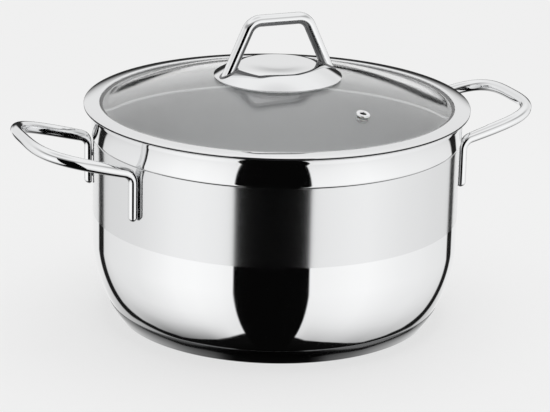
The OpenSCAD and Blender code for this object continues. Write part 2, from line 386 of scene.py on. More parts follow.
def dress(piece: Object, body: Body, slot: Slot, *nodes: str) -> None:
    """Make a piece ride on a body and stand for CAD nodes, and report it.

    Args:
        piece: The finished piece.
        body: Body that it rides on.
        slot: Material slot of the record; not used.
        *nodes: CAD nodes that it stands for.
    """
    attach(piece, body.value)
    if nodes:
        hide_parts(*nodes)
    LOG.info("%s: %d faces, on %s, for %s", piece.name, len(piece.data.polygons),
             body.value, ", ".join(nodes) or "itself")


def coat(node: Object, material: Material) -> None:
    """Give a kept CAD node a finish in each of its material slots.

    Args:
        node: One of the frame's CAD nodes.
        material: Its finish.
    """
    for slot in node.material_slots:
        slot.material = material
    LOG.info("%s: kept, in %s", node.name, material.name)


# ---- Node trees -------------------------------------------------------------


class Graph:
    """A node tree with short calls for adding and linking nodes."""

    def __init__(self, tree: bpy.types.NodeTree) -> None:
        """Hold the tree that nodes are added to."""
        self.tree = tree

    def add(self, kind: str, inputs: dict[str | int, object] | None = None,
            **settings: object) -> Node:
        """Add a node.

        Args:
            kind: The node's type name.
            inputs: Socket name or index to a constant or to another node's output.
            **settings: Properties of the node.

        Returns:
            The new node.
        """
        node = self.tree.nodes.new(kind)
        for key, value in settings.items():
            setattr(node, key, value)
        for key, value in (inputs or {}).items():
            if isinstance(value, Socket):
                self.tree.links.new(value, node.inputs[key])
            else:
                node.inputs[key].default_value = value
        return node

    def link(self, output: Socket, target: Socket) -> None:
        """Link an output to an input."""
        self.tree.links.new(output, target)

    def split(self, vector: Socket) -> Sequence[Socket]:
        """The three parts of a vector."""
        return self.add("ShaderNodeSeparateXYZ", {0: vector}).outputs

    def join(self, x: Value, y: Value, z: Value) -> Socket:
        """Vector of three parts."""
        return self.add("ShaderNodeCombineXYZ", {0: x, 1: y, 2: z}).outputs[0]

    def vector(self, operation: str, *values: Socket | Triple) -> Node:
        """Vector math node on one or two vectors."""
        return self.add("ShaderNodeVectorMath", dict(enumerate(values)), operation=operation)

    def place(self) -> Socket:
        """Place of a surface in its object."""
        return self.add("ShaderNodeTexCoord").outputs["Object"]

    def noise(self, vector: Socket, scale: float, **settings: float) -> Socket:
        """Strength of a noise at a place; other settings start at two octaves."""
        inputs = {"Vector": vector, "Scale": scale, "Detail": 2.0, **settings}
        return self.add("ShaderNodeTexNoise", inputs).outputs["Fac"]

    def bump(self, shader: Node, strength: Value, distance: float, height: Socket) -> None:
        """Raise a shader's surface by a height.

        Args:
            shader: The shader.
            strength: Strength from 0 to 1.
            distance: Largest height in metres.
            height: Height from 0 to 1.
        """
        node = self.add("ShaderNodeBump", {"Strength": strength, "Distance": distance,
                                           "Height": height})
        self.link(node.outputs["Normal"], shader.inputs["Normal"])

    def grained(self, shader: Node, noise: Socket, roughness: float, spread: float,
                strength: float, distance: float) -> None:
        """Vary a shader's roughness by a share of itself, and its height, with a noise.

        Args:
            shader: The shader.
            noise: The noise.
            roughness: Middle roughness.
            spread: Share of it that the noise adds or takes.
            strength: Strength of the height.
            distance: Largest height in metres.
        """
        rough = self.step(noise, 0.3, 0.7, roughness * (1 - spread), roughness * (1 + spread))
        self.link(rough, shader.inputs["Roughness"])
        self.bump(shader, strength, distance, noise)

    def either(self, factor: Socket, a: Node, b: Node) -> Node:
        """Shader that goes from a to b as the factor goes from 0 to 1."""
        return self.add("ShaderNodeMixShader", {0: factor, 1: a.outputs[0], 2: b.outputs[0]})

    def math(self, operation: str, a: Value, b: Value = 0.0) -> Socket:
        """Output of a math node on one or two values."""
        return self.add("ShaderNodeMath", {0: a, 1: b}, operation=operation).outputs[0]

    def times(self, first: Value, *others: Value) -> Socket:
        """Product of two or more values.

        Args:
            first: First value.
            *others: The other values.

        Returns:
            The product.
        """
        for other in others:
            first = self.math("MULTIPLY", first, other)
        return first

    def less(self, a: Value, b: Value) -> Socket:
        """First value less the second."""
        return self.math("SUBTRACT", a, b)

    def most(self, first: Value, *others: Value) -> Socket:
        """Largest of two or more values.

        Args:
            first: First value.
            *others: The other values.

        Returns:
            The largest.
        """
        for other in others:
            first = self.math("MAXIMUM", first, other)
        return first

    def size(self, value: Socket) -> Socket:
        """A value without its sign."""
        return self.math("ABSOLUTE", value)

    def blend(self, factor: Value, a: Value, b: Value) -> Socket:
        """Value that goes from a to b as the factor goes from 0 to 1."""
        return self.add("ShaderNodeMix", {0: factor, 2: a, 3: b}).outputs[0]

    def curve(self, value: Socket, across: float, up: float, points: Path) -> Socket:
        """Value looked up on straight runs between points, whose results are 0 or more.

        Args:
            value: The value that is looked up.
            across: Largest size of the value.
            up: Largest size of the result.
            points: Points as (value, result) in rising order.

        Returns:
            The curve's result at the value.
        """
        place = self.add("ShaderNodeMath", {0: value, 1: 0.5 / across, 2: 0.5},
                         operation="MULTIPLY_ADD")
        node = self.add("ShaderNodeFloatCurve", {"Value": place.outputs[0]})
        line = node.mapping.curves[0]
        for i, (a, b) in enumerate(points):
            mark = (0.5 + 0.5 * a / across, b / up)
            if i < 2:
                line.points[i].location = mark
            else:
                line.points.new(*mark)
        for point in line.points:
            point.handle_type = "VECTOR"
        node.mapping.update()
        return self.times(node.outputs[0], up)

    def step(self, value: Value, low: float, high: float, start: float = 0.0,
             end: float = 1.0) -> Socket:
        """Smooth step of a value from start to end between two marks.

        Args:
            value: The value.
            low: Mark where the step begins.
            high: Mark where it ends.
            start: Result at the first mark.
            end: Result at the second mark.

        Returns:
            The step's result at the value.
        """
        node = self.add("ShaderNodeMapRange", {"Value": value, "From Min": low, "From Max": high,
                                               "To Min": start, "To Max": end},
                        interpolation_type="SMOOTHSTEP")
        return node.outputs["Result"]

    def between(self, value: Value, a: float, b: float, c: float, d: float) -> Socket:
        """Rise from 0 to 1 between marks a and b, and fall back between c and d."""
        return self.times(self.step(value, a, b), self.step(value, c, d, 1.0, 0.0))


def new_material(name: str, tint: Triple, **settings: float) -> tuple[Material, Graph, Node]:
    """Make a material with a Principled shader.

    Args:
        name: Name of the material.
        tint: Its base colour.
        **settings: Other inputs of the shader, with an underscore for a space.

    Returns:
        The material, its graph and the shader node.
    """
    material = bpy.data.materials.new(name)
    material.use_nodes = True
    shader = material.node_tree.nodes["Principled BSDF"]
    shader.inputs["Base Color"].default_value = (*tint, 1)
    for label, value in settings.items():
        shader.inputs[label.replace("_", " ")].default_value = value
    return material, Graph(material.node_tree), shader


def show(material: Material, graph: Graph, shader: Node) -> None:
    """Make a shader node the surface of a material."""
    graph.link(shader.outputs[0], material.node_tree.nodes["Material Output"].inputs["Surface"])


# ---- Finishes ---------------------------------------------------------------

GRAIN_DEPTH = 0.02 * MM


@dataclass(frozen=True)
class MirrorSteel:
    """Polished stainless steel, whose kinds add a satin band on the pot and painted shade on the
    base, the bow and the legs.
    """

    name: str = "polished_steel"
    tint: Triple = (0.875, 0.88, 0.885)
    roughness: float = 0.045
    wipe_scale: float = 30.0
    dull_and_shade_tint: Triple = (0.775, 0.78, 0.785)
    dull_roughness: float = 0.12

    def dull_and_shade_share(self, graph: Graph, place: Socket) -> Socket | None:
        """Share of the satin finish and painted shade at a place, from 0 to 1; none on an even
        piece.
        """
        return None

    def dull_rough(self, graph: Graph, place: Socket, shader: Node,
                   share: Socket) -> Value:
        """Roughness where the steel is dull."""
        return self.dull_roughness

    def build(self) -> Material:
        """Make the material.

        Returns:
            Steel whose roughness follows fine polishing marks and its duller parts, and whose
            tint darkens in its satin band and its painted shade.
        """
        material, graph, shader = new_material(self.name, self.tint, Metallic=1.0)
        place = graph.place()
        polish = graph.step(graph.noise(place, self.wipe_scale), 0.3, 0.8,
                            self.roughness * 0.8, self.roughness * 1.25)
        share = self.dull_and_shade_share(graph, place)
        if share is None:
            graph.link(polish, shader.inputs["Roughness"])
            return material
        rough = self.dull_rough(graph, place, shader, share)
        graph.link(graph.blend(share, polish, rough), shader.inputs["Roughness"])
        # Tint blends to the satin colour, and on some kinds to a painted shade.
        tint = graph.add("ShaderNodeMix", {0: share, 6: (*self.tint, 1), 7: (*self.dull_and_shade_tint, 1)},
                         data_type="RGBA")
        graph.link(tint.outputs[2], shader.inputs["Base Color"])
        return material


@dataclass(frozen=True)
class BandedSteel(MirrorSteel):
    """Polished steel with a satin band, brushed round the pot between two heights."""

    name: str = "polished_steel_banded"
    low: float = 0.0
    high: float = 0.0
    edge: float = 0.35
    radius: float = 125.0
    brush_scale: Triple = (18.0, 1.0, 3200.0)
    brush_depth: float = 0.06

    def dull_and_shade_share(self, graph: Graph, place: Socket) -> Socket:
        """Share of the satin finish, 1 inside the band.

        Args:
            graph: Graph that the nodes are added to.
            place: Place of the surface in its object.

        Returns:
            The share, from 0 to 1.
        """
        edge, low, high = self.edge * MM, self.low * MM, self.high * MM
        return graph.between(graph.split(place)[2], low - edge, low + edge,
                             high - edge, high + edge)

    def dull_rough(self, graph: Graph, place: Socket, shader: Node, share: Socket) -> Socket:
        """Roughness of the brushed lines, which also raise the surface a little.

        Args:
            graph: Graph that the nodes are added to.
            place: Place of the surface in its object.
            shader: The steel's shader.
            share: Share of the satin finish.

        Returns:
            The roughness.
        """
        x, y, z = graph.split(place)
        around = graph.times(graph.math("ARCTAN2", y, x), self.radius * MM)
        stretch = graph.add("ShaderNodeMapping", {"Vector": graph.join(around, 0.0, z),
                                                  "Scale": self.brush_scale})
        brush = graph.noise(stretch.outputs[0], 1.0, Detail=3.0, Roughness=0.6)
        graph.bump(shader, graph.times(share, self.brush_depth), GRAIN_DEPTH, brush)
        return graph.step(brush, 0.25, 0.75, self.dull_roughness * 0.85,
                          self.dull_roughness * 1.15)


@dataclass(frozen=True)
class BaseSteel(MirrorSteel):
    """Polished steel of the base, rougher towards its seam and darkened there with painted shade
    under the belly's overhang.
    """

    name: str = "polished_steel_base"
    # Painted shade: the cap's dark tint at its seam.
    dull_and_shade_tint: Triple = (0.22, 0.222, 0.225)
    bright: float = 1.0
    seam: float = 11.4

    def dull_and_shade_share(self, graph: Graph, place: Socket) -> Socket:
        """Share of the rougher finish and painted shade, 1 at the seam."""
        return graph.step(graph.split(place)[2], self.bright * MM, self.seam * MM)


@dataclass(frozen=True)
class FacingSteel(MirrorSteel):
    """Polished steel, rougher on the sides that face a place and darkened there with painted
    shade.
    """

    name: str = "polished_steel_bow"
    # Painted shade: the dark tint of the bow's inward sides.
    dull_and_shade_tint: Triple = (0.15, 0.152, 0.155)
    facing_from: float = 0.0
    facing_to: float = 0.3
    middle: float = 186.0

    def inward(self, graph: Graph, place: Socket) -> Socket:
        """Direction to the middle of the bow's arch."""
        x, _, z = graph.split(place)
        return graph.join(graph.times(x, -1.0), 0.0, graph.less(self.middle * MM, z))

    def dull_and_shade_share(self, graph: Graph, place: Socket) -> Socket:
        """Share of the rougher finish and painted shade, 1 where the surface faces inward.

        Args:
            graph: Graph that the nodes are added to.
            place: Place of the surface in its object.

        Returns:
            The share, from 0 to 1.
        """
        unit = graph.vector("NORMALIZE", self.inward(graph, place)).outputs[0]
        normal = graph.add("ShaderNodeNewGeometry").outputs["Normal"]
        facing = graph.vector("DOT_PRODUCT", unit, normal).outputs["Value"]
        return graph.step(facing, self.facing_from, self.facing_to)


@dataclass(frozen=True)
class LegSteel(FacingSteel):
    """Polished steel of the side handles, rougher on the legs' backs against the wall and
    darkened there with painted shade.
    """

    # Painted shade: the legs' backs take the bow's dark tint.
    name: str = "polished_steel_loops"
    facing_from: float = 0.15
    facing_to: float = 0.45
    elbow_z: float = 117.0

    def inward(self, graph: Graph, place: Socket) -> Socket:
        """Direction to the pot's axis."""
        return graph.vector("MULTIPLY", place, (-1.0, -1.0, 0.0)).outputs[0]

    def dull_and_shade_share(self, graph: Graph, place: Socket) -> Socket:
        """Share of the rougher finish and painted shade, 1 on the backs of the legs.

        Args:
            graph: Graph that the nodes are added to.
            place: Place of the surface in its object.

        Returns:
            The share, from 0 to 1.
        """
        z = graph.split(place)[2]
        legs = graph.step(z, (self.elbow_z - 2) * MM, (self.elbow_z + 6) * MM, 1.0, 0.0)
        return graph.times(legs, FacingSteel.dull_and_shade_share(self, graph, place))


@dataclass(frozen=True)
class BrushedSteel:
    """Steel with a fine directional grain: concentric, or plain and dull."""

    name: str
    tint: Triple = (0.74, 0.745, 0.75)
    roughness: float = 0.27
    grain: float = 0.08
    grain_scale: float = 2600.0
    twist: float = 0.004
    spread: float = 0.18

    def build(self) -> Material:
        """Make the material.

        Returns:
            Steel with grain that runs round the Z axis.
        """
        material, graph, shader = new_material(self.name, self.tint, Metallic=1.0)
        place = graph.place()
        x, y, z = graph.split(place)
        radius = graph.math("SQRT", graph.math("ADD", graph.times(x, x), graph.times(y, y)))
        around = graph.times(graph.math("ARCTAN2", y, x), self.twist)
        noise = graph.noise(graph.join(radius, around, z), self.grain_scale)
        graph.grained(shader, noise, self.roughness, self.spread, self.grain, GRAIN_DEPTH)
        return material


@dataclass(frozen=True)
class TemperedGlass:
    """Clear glass that lets light through to what it covers."""

    name: str = "tempered_glass"
    tint: Triple = (0.985, 0.99, 0.988)
    index: float = 1.5

    def build(self) -> Material:
        """Make the material.

        Returns:
            Glass that is clear to shadow rays, so the pot's inside stays lit.
        """
        material, graph, shader = new_material(self.name, self.tint, Transmission_Weight=1.0,
                                               Roughness=0.0, IOR=self.index)
        clear = graph.add("ShaderNodeBsdfTransparent", {"Color": (*self.tint, 1)})
        shadow = graph.add("ShaderNodeLightPath").outputs["Is Shadow Ray"]
        show(material, graph, graph.either(shadow, shader, clear))
        return material


@dataclass(frozen=True)
class Silicone:
    """Soft translucent rubber of the gaskets."""

    name: str = "silicone"
    tint: Triple = (0.80, 0.80, 0.78)
    roughness: float = 0.5
    grain_scale: float = 900.0

    def build(self) -> Material:
        """Make the material.

        Returns:
            Matte rubber with a faint moulded grain.
        """
        material, graph, shader = new_material(self.name, self.tint, Subsurface_Weight=0.2,
                                               Subsurface_Scale=1.0 * MM)
        noise = graph.noise(graph.place(), self.grain_scale)
        graph.grained(shader, noise, self.roughness, 0.1, 0.1, 1.5 * GRAIN_DEPTH)
        return material


# ---- Geometry Nodes ---------------------------------------------------------


class PieceTree:
    """A Geometry Nodes tree whose sizes are named inputs."""

    title: str
    sizes: tuple[tuple[str, str], ...]

    def __init__(self) -> None:
        """Build the tree once: its inputs, its form, then real geometry in its steel."""
        self.tree = bpy.data.node_groups.new(self.title, "GeometryNodeTree")
        face = self.tree.interface
        face.new_socket("Geometry", in_out="INPUT", socket_type="NodeSocketGeometry")
        self.inputs = {}
        for label, kind in (*self.sizes, ("Steel", "Material")):
            socket = face.new_socket(label, in_out="INPUT", socket_type="NodeSocket" + kind)
            self.inputs[label] = socket.identifier
        face.new_socket("Geometry", in_out="OUTPUT", socket_type="NodeSocketGeometry")
        graph = Graph(self.tree)
        given = graph.add("NodeGroupInput").outputs
        real = graph.add("GeometryNodeRealizeInstances", {0: self.form(graph, given)})
        coated = graph.add("GeometryNodeSetMaterial", {
            "Geometry": real.outputs[0], "Material": given["Steel"]})
        graph.add("NodeGroupOutput", {0: coated.outputs[0]})

    def form(self, graph: Graph, given: Sequence[Socket]) -> Socket:
        """Nodes that make the piece's form from the tree's inputs."""
        raise NotImplementedError

    def make(self, name: str, points: Sequence[Vector], links: int, steel: Material,
             **sizes: float) -> Mesh:
        """Run the tree on a helper mesh.

        Args:
            name: Name of the piece.
            points: The helper's points in millimetres.
            links: Number of edges, each of which joins a point to the next.
            steel: Material of the piece.
            **sizes: Inputs, with an underscore for a space: a float is a length in
                millimetres, an int is a count.

        Returns:
            The piece as a plain mesh in metres, with the helper removed.
        """
        mesh = bpy.data.meshes.new(name + "_line")
        edges = [(i, (i + 1) % len(points)) for i in range(links)]
        mesh.from_pydata([p * MM for p in points], edges, [])
        helper = bpy.data.objects.new(name + "_helper", mesh)
        bpy.context.scene.collection.objects.link(helper)
        modifier = helper.modifiers.new("nodes", "NODES")
        modifier.node_group = self.tree
        modifier[self.inputs["Steel"]] = steel
        for label, value in sizes.items():
            whole = isinstance(value, int)
            modifier[self.inputs[label.replace("_", " ")]] = value if whole else value * MM
        result = applied(helper, modifier)
        bpy.data.objects.remove(helper)
        bpy.data.meshes.remove(mesh)
        return result


class RodTree(PieceTree):
    """Geometry Nodes that bend a round rod along a chain of edges."""

    title = "bent_rod"
    sizes = (("Rod Radius", "Float"), ("Bend Radius", "Float"), ("Sides", "Int"),
             ("Bend Steps", "Int"))

    def form(self, graph: Graph, given: Sequence[Socket]) -> Socket:
        """A round section along the chain, with filleted corners.

        Args:
            graph: Graph that the nodes are added to.
            given: The tree's inputs.

        Returns:
            The rod's geometry.
        """
        curve = graph.add("GeometryNodeMeshToCurve", {"Mesh": given["Geometry"]})
        bent = graph.add("GeometryNodeFilletCurve", {
            "Curve": curve.outputs[0], "Radius": given["Bend Radius"],
            "Count": given["Bend Steps"], "Limit Radius": True}, mode="POLY")
        section = graph.add("GeometryNodeCurvePrimitiveCircle", {
            "Resolution": given["Sides"], "Radius": given["Rod Radius"]})
        return graph.add("GeometryNodeCurveToMesh", {
            "Curve": bent.outputs[0], "Profile Curve": section.outputs[0],
            "Fill Caps": True}).outputs[0]


class NuggetTree(PieceTree):
    """Geometry Nodes that set a weld nugget on the wall at each point."""

    title = "weld_nuggets"
    sizes = (("Nugget Radius", "Float"), ("Nugget Height", "Float"))

    def form(self, graph: Graph, given: Sequence[Socket]) -> Socket:
        """A disc at each point, turned square to the pot's axis.

        Args:
            graph: Graph that the nodes are added to.
            given: The tree's inputs.

        Returns:
            The nuggets' geometry.
        """
        disc = graph.add("GeometryNodeMeshCylinder", {
            "Vertices": 32, "Side Segments": 3, "Fill Segments": 2,
            "Radius": given["Nugget Radius"], "Depth": given["Nugget Height"]})
        where = graph.add("GeometryNodeInputPosition").outputs[0]
        flat = graph.vector("MULTIPLY", where, (1, 1, 0))
        turn = graph.add("FunctionNodeAlignRotationToVector", {"Vector": flat.outputs[0]},
                         axis="Z")
        points = graph.add("GeometryNodeMeshToPoints", {0: given["Geometry"]})
        return graph.add("GeometryNodeInstanceOnPoints", {
            "Points": points.outputs[0], "Instance": disc.outputs["Mesh"],
            "Rotation": turn.outputs[0]}).outputs[0]


# ---- Pot --------------------------------------------------------------------


@dataclass
class PotAssembly:
    """Drawn shell with its rolled rim, and the capped base.

    Attributes:
        step_drop: Depth of the step line below the lip.
        rim_bulge: How far the rim stands out above the step line.
        rim_flare: How far it stands out where it turns into the lip.
        hem: Length of the cap's tapered upper edge.
        lap: Thickness at the end of that edge.
        fit: Gap between the shell and the cap at the seam.
        satin_low: Height at which the satin band begins.
        flat_r: Radius of an extra ring of points on the flat floor.
    """

    wall_d: float = 250.0
    height: float = 147.5
    wall_t: float = 1.0
    belly_r: float = 88.0
    belly_top: float = 54.5
    knuckle_r: float = 12.0
    step_drop: float = 21.3
    rim_bulge: float = 0.9
    rim_flare: float = 2.9
    lip_out: float = 6.0
    spreader_t: float = 5.2
    cap_t: float = 0.8
    cap_edge_r: float = 1.4
    cap_rise: float = 11.4
    hem: float = 7.0
    lap: float = 0.27
    fit: float = 0.05
    satin_low: float = 72.7
    flat_r: float = 60.0
    wall_r: float = field(init=False)
    lip_r: float = field(init=False)
    throat_r: float = field(init=False)
    step_z: float = field(init=False)
    floor_z: float = field(init=False)

    def __post_init__(self) -> None:
        """Work out the sizes that follow from the others."""
        self.wall_r = self.wall_d / 2
        self.lip_r = self.wall_r + self.lip_out
        self.throat_r = self.wall_r + self.rim_flare
        self.step_z = self.height - self.step_drop
        self.floor_z = self.cap_t + self.spreader_t

    def belly_path(self) -> list[Point]:
        """Outer outline from the flat floor through the belly to the straight wall.

        Returns:
            The points from the floor up.
        """
        centre = (self.wall_r - self.belly_r, self.belly_top)
        knuckle_z = self.floor_z + self.knuckle_r
        reach = math.sqrt((self.belly_r - self.knuckle_r) ** 2
                          - (self.belly_top - knuckle_z) ** 2)
        knuckle = (centre[0] + reach, knuckle_z)
        meet = math.degrees(math.atan2(knuckle[1] - centre[1], knuckle[0] - centre[0]))
        return (arc(knuckle, self.knuckle_r, -90, meet, 20)
                + arc(centre, self.belly_r, meet, 0, 56)[1:])

    def rim_path(self) -> list[Point]:
        """Outer outline from the step line to the edge of the lip, in four eased runs.

        Returns:
            The points from the step line up.
        """
        lip_z = self.height - self.wall_t
        nick = (self.wall_r - 0.08, self.step_z - 0.15)
        crest = (self.wall_r + self.rim_bulge, self.step_z + 1.3)
        foot = bezier((self.wall_r, self.step_z - 1.0), (self.wall_r, self.step_z - 0.5), nick, 4)
        rise = bezier(nick, (self.wall_r + 0.6, self.step_z + 0.45), crest, 8)[1:-1]
        band = bezier(crest, (crest[0], self.step_z + 10), (self.throat_r, self.height - 4.4), 24)
        roll = bezier((self.throat_r + 0.15, self.height - 3.6), (self.throat_r + 0.6, lip_z),
                      (self.lip_r - 2, lip_z), 16)
        return foot + rise + band + roll + [(self.lip_r, lip_z)]

    def build_shell(self, outside: Material, inside: Material, fold: Material) -> Object:
        """Turn the shell, polished outside, satin inside and dark with painted shade where the
        lid rests.

        Args:
            outside: Finish of the outside.
            inside: Finish of the inside.
            fold: Painted shade on the narrow face that the lid rests on.

        Returns:
            The new object.
        """
        wall = [(self.wall_r, z) for z in spaced(self.belly_top, self.step_z - 1.4, 12)[1:-1]]
        outer = [(0.0, self.floor_z), (self.flat_r, self.floor_z), *self.belly_path(), *wall,
                 *self.rim_path()]
        inner = offset_path(outer, self.wall_t)
        edge = arc((self.lip_r - self.wall_t / 2, self.height - self.wall_t / 2),
                   self.wall_t / 2, -90, 90, 8)
        profile = outer[:-1] + edge + inner[::-1][1:]
        count_outer = len(outer) + len(edge) - 6
        outline = {middle(profile, i) for i in range(count_outer)}
        rest_z = self.height - 0.45 * self.wall_t

        def slot_of(spot: Point) -> int:
            """Slot of a face: 0 outside, 1 inside, 2 painted shade under the lid's band."""
            if spot[0] > self.lip_r - 1.8 and spot[1] > rest_z:
                return 2
            return 0 if spot in outline else 1

        return lathe("pot_shell", profile, [outside, inside, fold], material_of=slot_of)

    def build_cap(self, steel: Material) -> Object:
        """Turn the thin steel cap that wraps the heat spreader; its upper edge is tapered.

        Args:
            steel: Finish of the cap.

        Returns:
            The new object.
        """
        path = self.belly_path()
        low, high = next(run for run in zip(path, path[1:]) if run[1][1] >= self.cap_rise)
        share = (self.cap_rise - low[1]) / (high[1] - low[1])
        seam = (mix(low[0], high[0], share) + self.fit, self.cap_rise)
        slope = (high[0] - low[0]) / (high[1] - low[1])
        lean = math.degrees(math.atan2(1.0, slope))
        turn = (seam[0] - slope * (self.cap_rise - self.cap_t)
                - self.cap_edge_r * math.tan(math.radians(lean / 2)),
                self.cap_t + self.cap_edge_r)
        inner = [(0.0, self.cap_t), (self.flat_r, self.cap_t),
                 *arc(turn, self.cap_edge_r, -90, lean - 90, 12), seam]
        outer = offset_path(inner, -self.cap_t)
        taper = bezier(along(outer[-1], outer[-2], self.hem),
                       along(outer[-1], outer[-2], self.hem / 2),
                       along(inner[-1], outer[-1], self.lap), 10)
        profile = inner + taper[::-1] + outer[:-1][::-1]
        profile = [(x, max(0.0, z)) for x, z in profile]
        return lathe("base_shell", profile, [steel])

    def build(self, nodes: dict[str, Object], made: dict[str, Material]) -> None:
        """Make and dress the pot's pieces.

        Args:
            nodes: The frame's CAD nodes by name.
            made: Finishes by use.
        """
        dress(self.build_shell(made["outside"], made["lining"], made["fold"]), Body.POT,
              Slot.POLISHED, "pot_body")
        dress(self.build_cap(made["base"]), Body.POT, Slot.POLISHED, "base_cap")
        coat(nodes["heat_spreader"], made["aluminium"])


# ---- Side handles -----------------------------------------------------------


@dataclass
class SideHandles:
    """Two bent rods with pressed legs, spot welded to the wall.

    Attributes:
        reach: Distance from the pot's axis to the end of a loop.
        leg_drop: Depth of a leg's foot below the lip.
        arm_drop: Depth below the lip of the arms, carried on straight to the legs.
        arm_slope: Rise of the arms in degrees.
        end_power: Power of the length in the loop's outline, which is an ellipse at 2.
        side_power: Power of the half width in it.
        loop_split: Share of the loop's length that is stepped outwards, before its end is
            stepped across.
    """

    pot: PotAssembly
    grip_d: float = 8.0
    reach: float = 183.0
    leg_pitch: float = 89.4
    leg_w: float = 6.6
    leg_depth: float = 5.2
    leg_drop: float = 57.5
    arm_drop: float = 24.7
    arm_slope: float = 15.0
    elbow_r: float = 8.0
    end_power: float = 4.7
    side_power: float = 3.2
    nugget_d: float = 4.4
    nugget_t: float = 0.6
    nugget_inset: float = 5.0
    sides: int = 48
    steps: int = 28
    loop_split: float = 0.86
    leg_half: float = field(init=False)
    leg_back: float = field(init=False)
    leg_u: float = field(init=False)
    leg_turn: float = field(init=False)
    loop_len: float = field(init=False)
    foot_z: float = field(init=False)
    arm_z: float = field(init=False)
    elbow_z: float = field(init=False)

    def __post_init__(self) -> None:
        """Work out the places that follow from the sizes."""
        self.leg_half = self.leg_pitch / 2
        self.leg_back = self.leg_depth - self.leg_w / 2
        ring_r = self.pot.wall_r + self.nugget_t + self.leg_back
        self.leg_u = math.sqrt(ring_r ** 2 - self.leg_half ** 2)
        self.leg_turn = math.asin(self.leg_half / ring_r)
        self.loop_len = self.reach - self.grip_d / 2 - self.leg_u
        self.foot_z = self.pot.height - self.leg_drop
        self.arm_z = self.pot.height - self.arm_drop
        turn = math.radians(90 - self.arm_slope)
        self.elbow_z = self.arm_z - self.elbow_r * math.tan(turn / 2)

    def loop_side(self, out: float) -> float:
        """Half width of the loop at a distance out from the legs."""
        return self.leg_half * (1 - (out / self.loop_len) ** self.end_power) ** (
            1 / self.side_power)

    def loop_out(self, side: float) -> float:
        """Distance out from the legs of the loop at a half width."""
        return self.loop_len * (1 - (side / self.leg_half) ** self.side_power) ** (
            1 / self.end_power)

    def half_line(self) -> list[Vector]:
        """Centre line of half a handle, from the foot to the middle of the tip.

        Returns:
            The points in millimetres.
        """
        foot_round = self.leg_w / 2
        turn = math.radians(90 - self.arm_slope)
        heights = [self.foot_z + foot_round * s
                   for s in (0, 0.02, 0.08, 0.17, 0.29, 0.44, 0.62, 0.8, 1)]
        heights += spaced(heights[-1], self.elbow_z, 8)[1:-1]
        points = [Vector((self.leg_u, self.leg_half, z)) for z in heights]
        for t in spaced(0, turn, 16):
            points.append(Vector((self.leg_u + self.elbow_r * (1 - math.cos(t)), self.leg_half,
                                  self.elbow_z + self.elbow_r * math.sin(t))))
        start = self.elbow_r * (1 - math.cos(turn))
        split = self.loop_split * self.loop_len
        plan = [(a, self.loop_side(a)) for a in spaced(start, split, self.steps)[1:]]
        across = spaced(self.loop_side(split), 0, self.steps)[1:]
        plan += [(self.loop_out(v), v) for v in across]
        slope = math.tan(math.radians(self.arm_slope))
        points += [Vector((self.leg_u + a, v, self.arm_z + a * slope)) for a, v in plan]
        return points

    def rings(self) -> list[list[Vector]]:
        """Rings of points along a handle, flat-backed in the legs and round in the grip.

        Returns:
            One ring of points for each point of the centre line.
        """
        half = self.half_line()
        line = [Vector((p.x, -p.y, p.z)) for p in half] + half[-2::-1]
        normal = Vector((math.cos(self.leg_turn), -math.sin(self.leg_turn), 0))
        foot_round, blend, least = self.leg_w / 2, 1.5 * self.elbow_r, 0.05
        rings = []
        for i, point in enumerate(line):
            ahead = (line[min(i + 1, len(line) - 1)] - line[max(i - 1, 0)]).normalized()
            normal = (normal - normal.dot(ahead) * ahead).normalized()
            across = ahead.cross(normal)
            share = smooth((point.z - self.elbow_z) / blend)
            q = min(1.0, max(least, (point.z - self.foot_z) / foot_round))
            width = mix(self.leg_w, self.grip_d, share) / 2 * math.sqrt(1 - (1 - q) ** 2)
            back = mix(self.leg_back, self.grip_d / 2, share)
            rings.append([self.section_point(point, normal, across, width, back, turn)
                          for turn in turns(self.sides)])
        return rings

    @staticmethod
    def section_point(centre: Vector, normal: Vector, across: Vector, width: float,
                      back: float, angle: float) -> Vector:
        """Point of a section at an angle, with its flat back eased into its sides.

        Args:
            centre: The section's centre.
            normal: Direction away from the pot.
            across: Direction of the section's width.
            width: Half of the width.
            back: Distance from the centre to the flat back.
            angle: Angle from the normal in radians.

        Returns:
            The point.
        """
        depth = width * math.cos(angle)
        flat = min(1.0, back / width)
        if depth < 0 and flat < 0.999:
            sharpness = 10
            full = -depth / width
            depth = -width * full / (1 + (full / flat) ** sharpness) ** (1 / sharpness)
        return centre + across * (width * math.sin(angle)) + normal * depth

    def build(self, made: dict[str, Material]) -> None:
        """Make and dress both handles and their welds in the made finishes.

        Args:
            made: Finishes by use.
        """
        rings = self.rings()
        left = [[Vector((-p.x, -p.y, p.z)) for p in ring] for ring in rings]
        for side, form in (("right", rings), ("left", left)):
            dress(skin(side + "_loop", form, made["loops"]), Body.POT, Slot.POLISHED,
                  side + "_handle")
        nuggets = NuggetTree()
        gap, sunk = 0.05, 0.05
        heights = (self.foot_z + self.nugget_inset + self.nugget_d / 2,
                   self.elbow_z - self.nugget_inset)
        radius = self.pot.wall_r + (self.nugget_t - gap) / 2 - sunk
        places = {"left_front": math.pi + self.leg_turn, "left_rear": math.pi - self.leg_turn,
                  "right_front": -self.leg_turn, "right_rear": self.leg_turn}
        for place, turn in places.items():
            points = [polar(radius, turn, z) for z in heights]
            mesh = nuggets.make(place + "_nuggets", points, 0, made["plain"],
                                Nugget_Radius=self.nugget_d / 2,
                                Nugget_Height=self.nugget_t - gap + 2 * sunk)
            piece = finish_mesh(place + "_nuggets", mesh, [made["plain"]])
            dress(piece, Body.POT, Slot.PLAIN, place + "_weld")


# ---- Lid --------------------------------------------------------------------


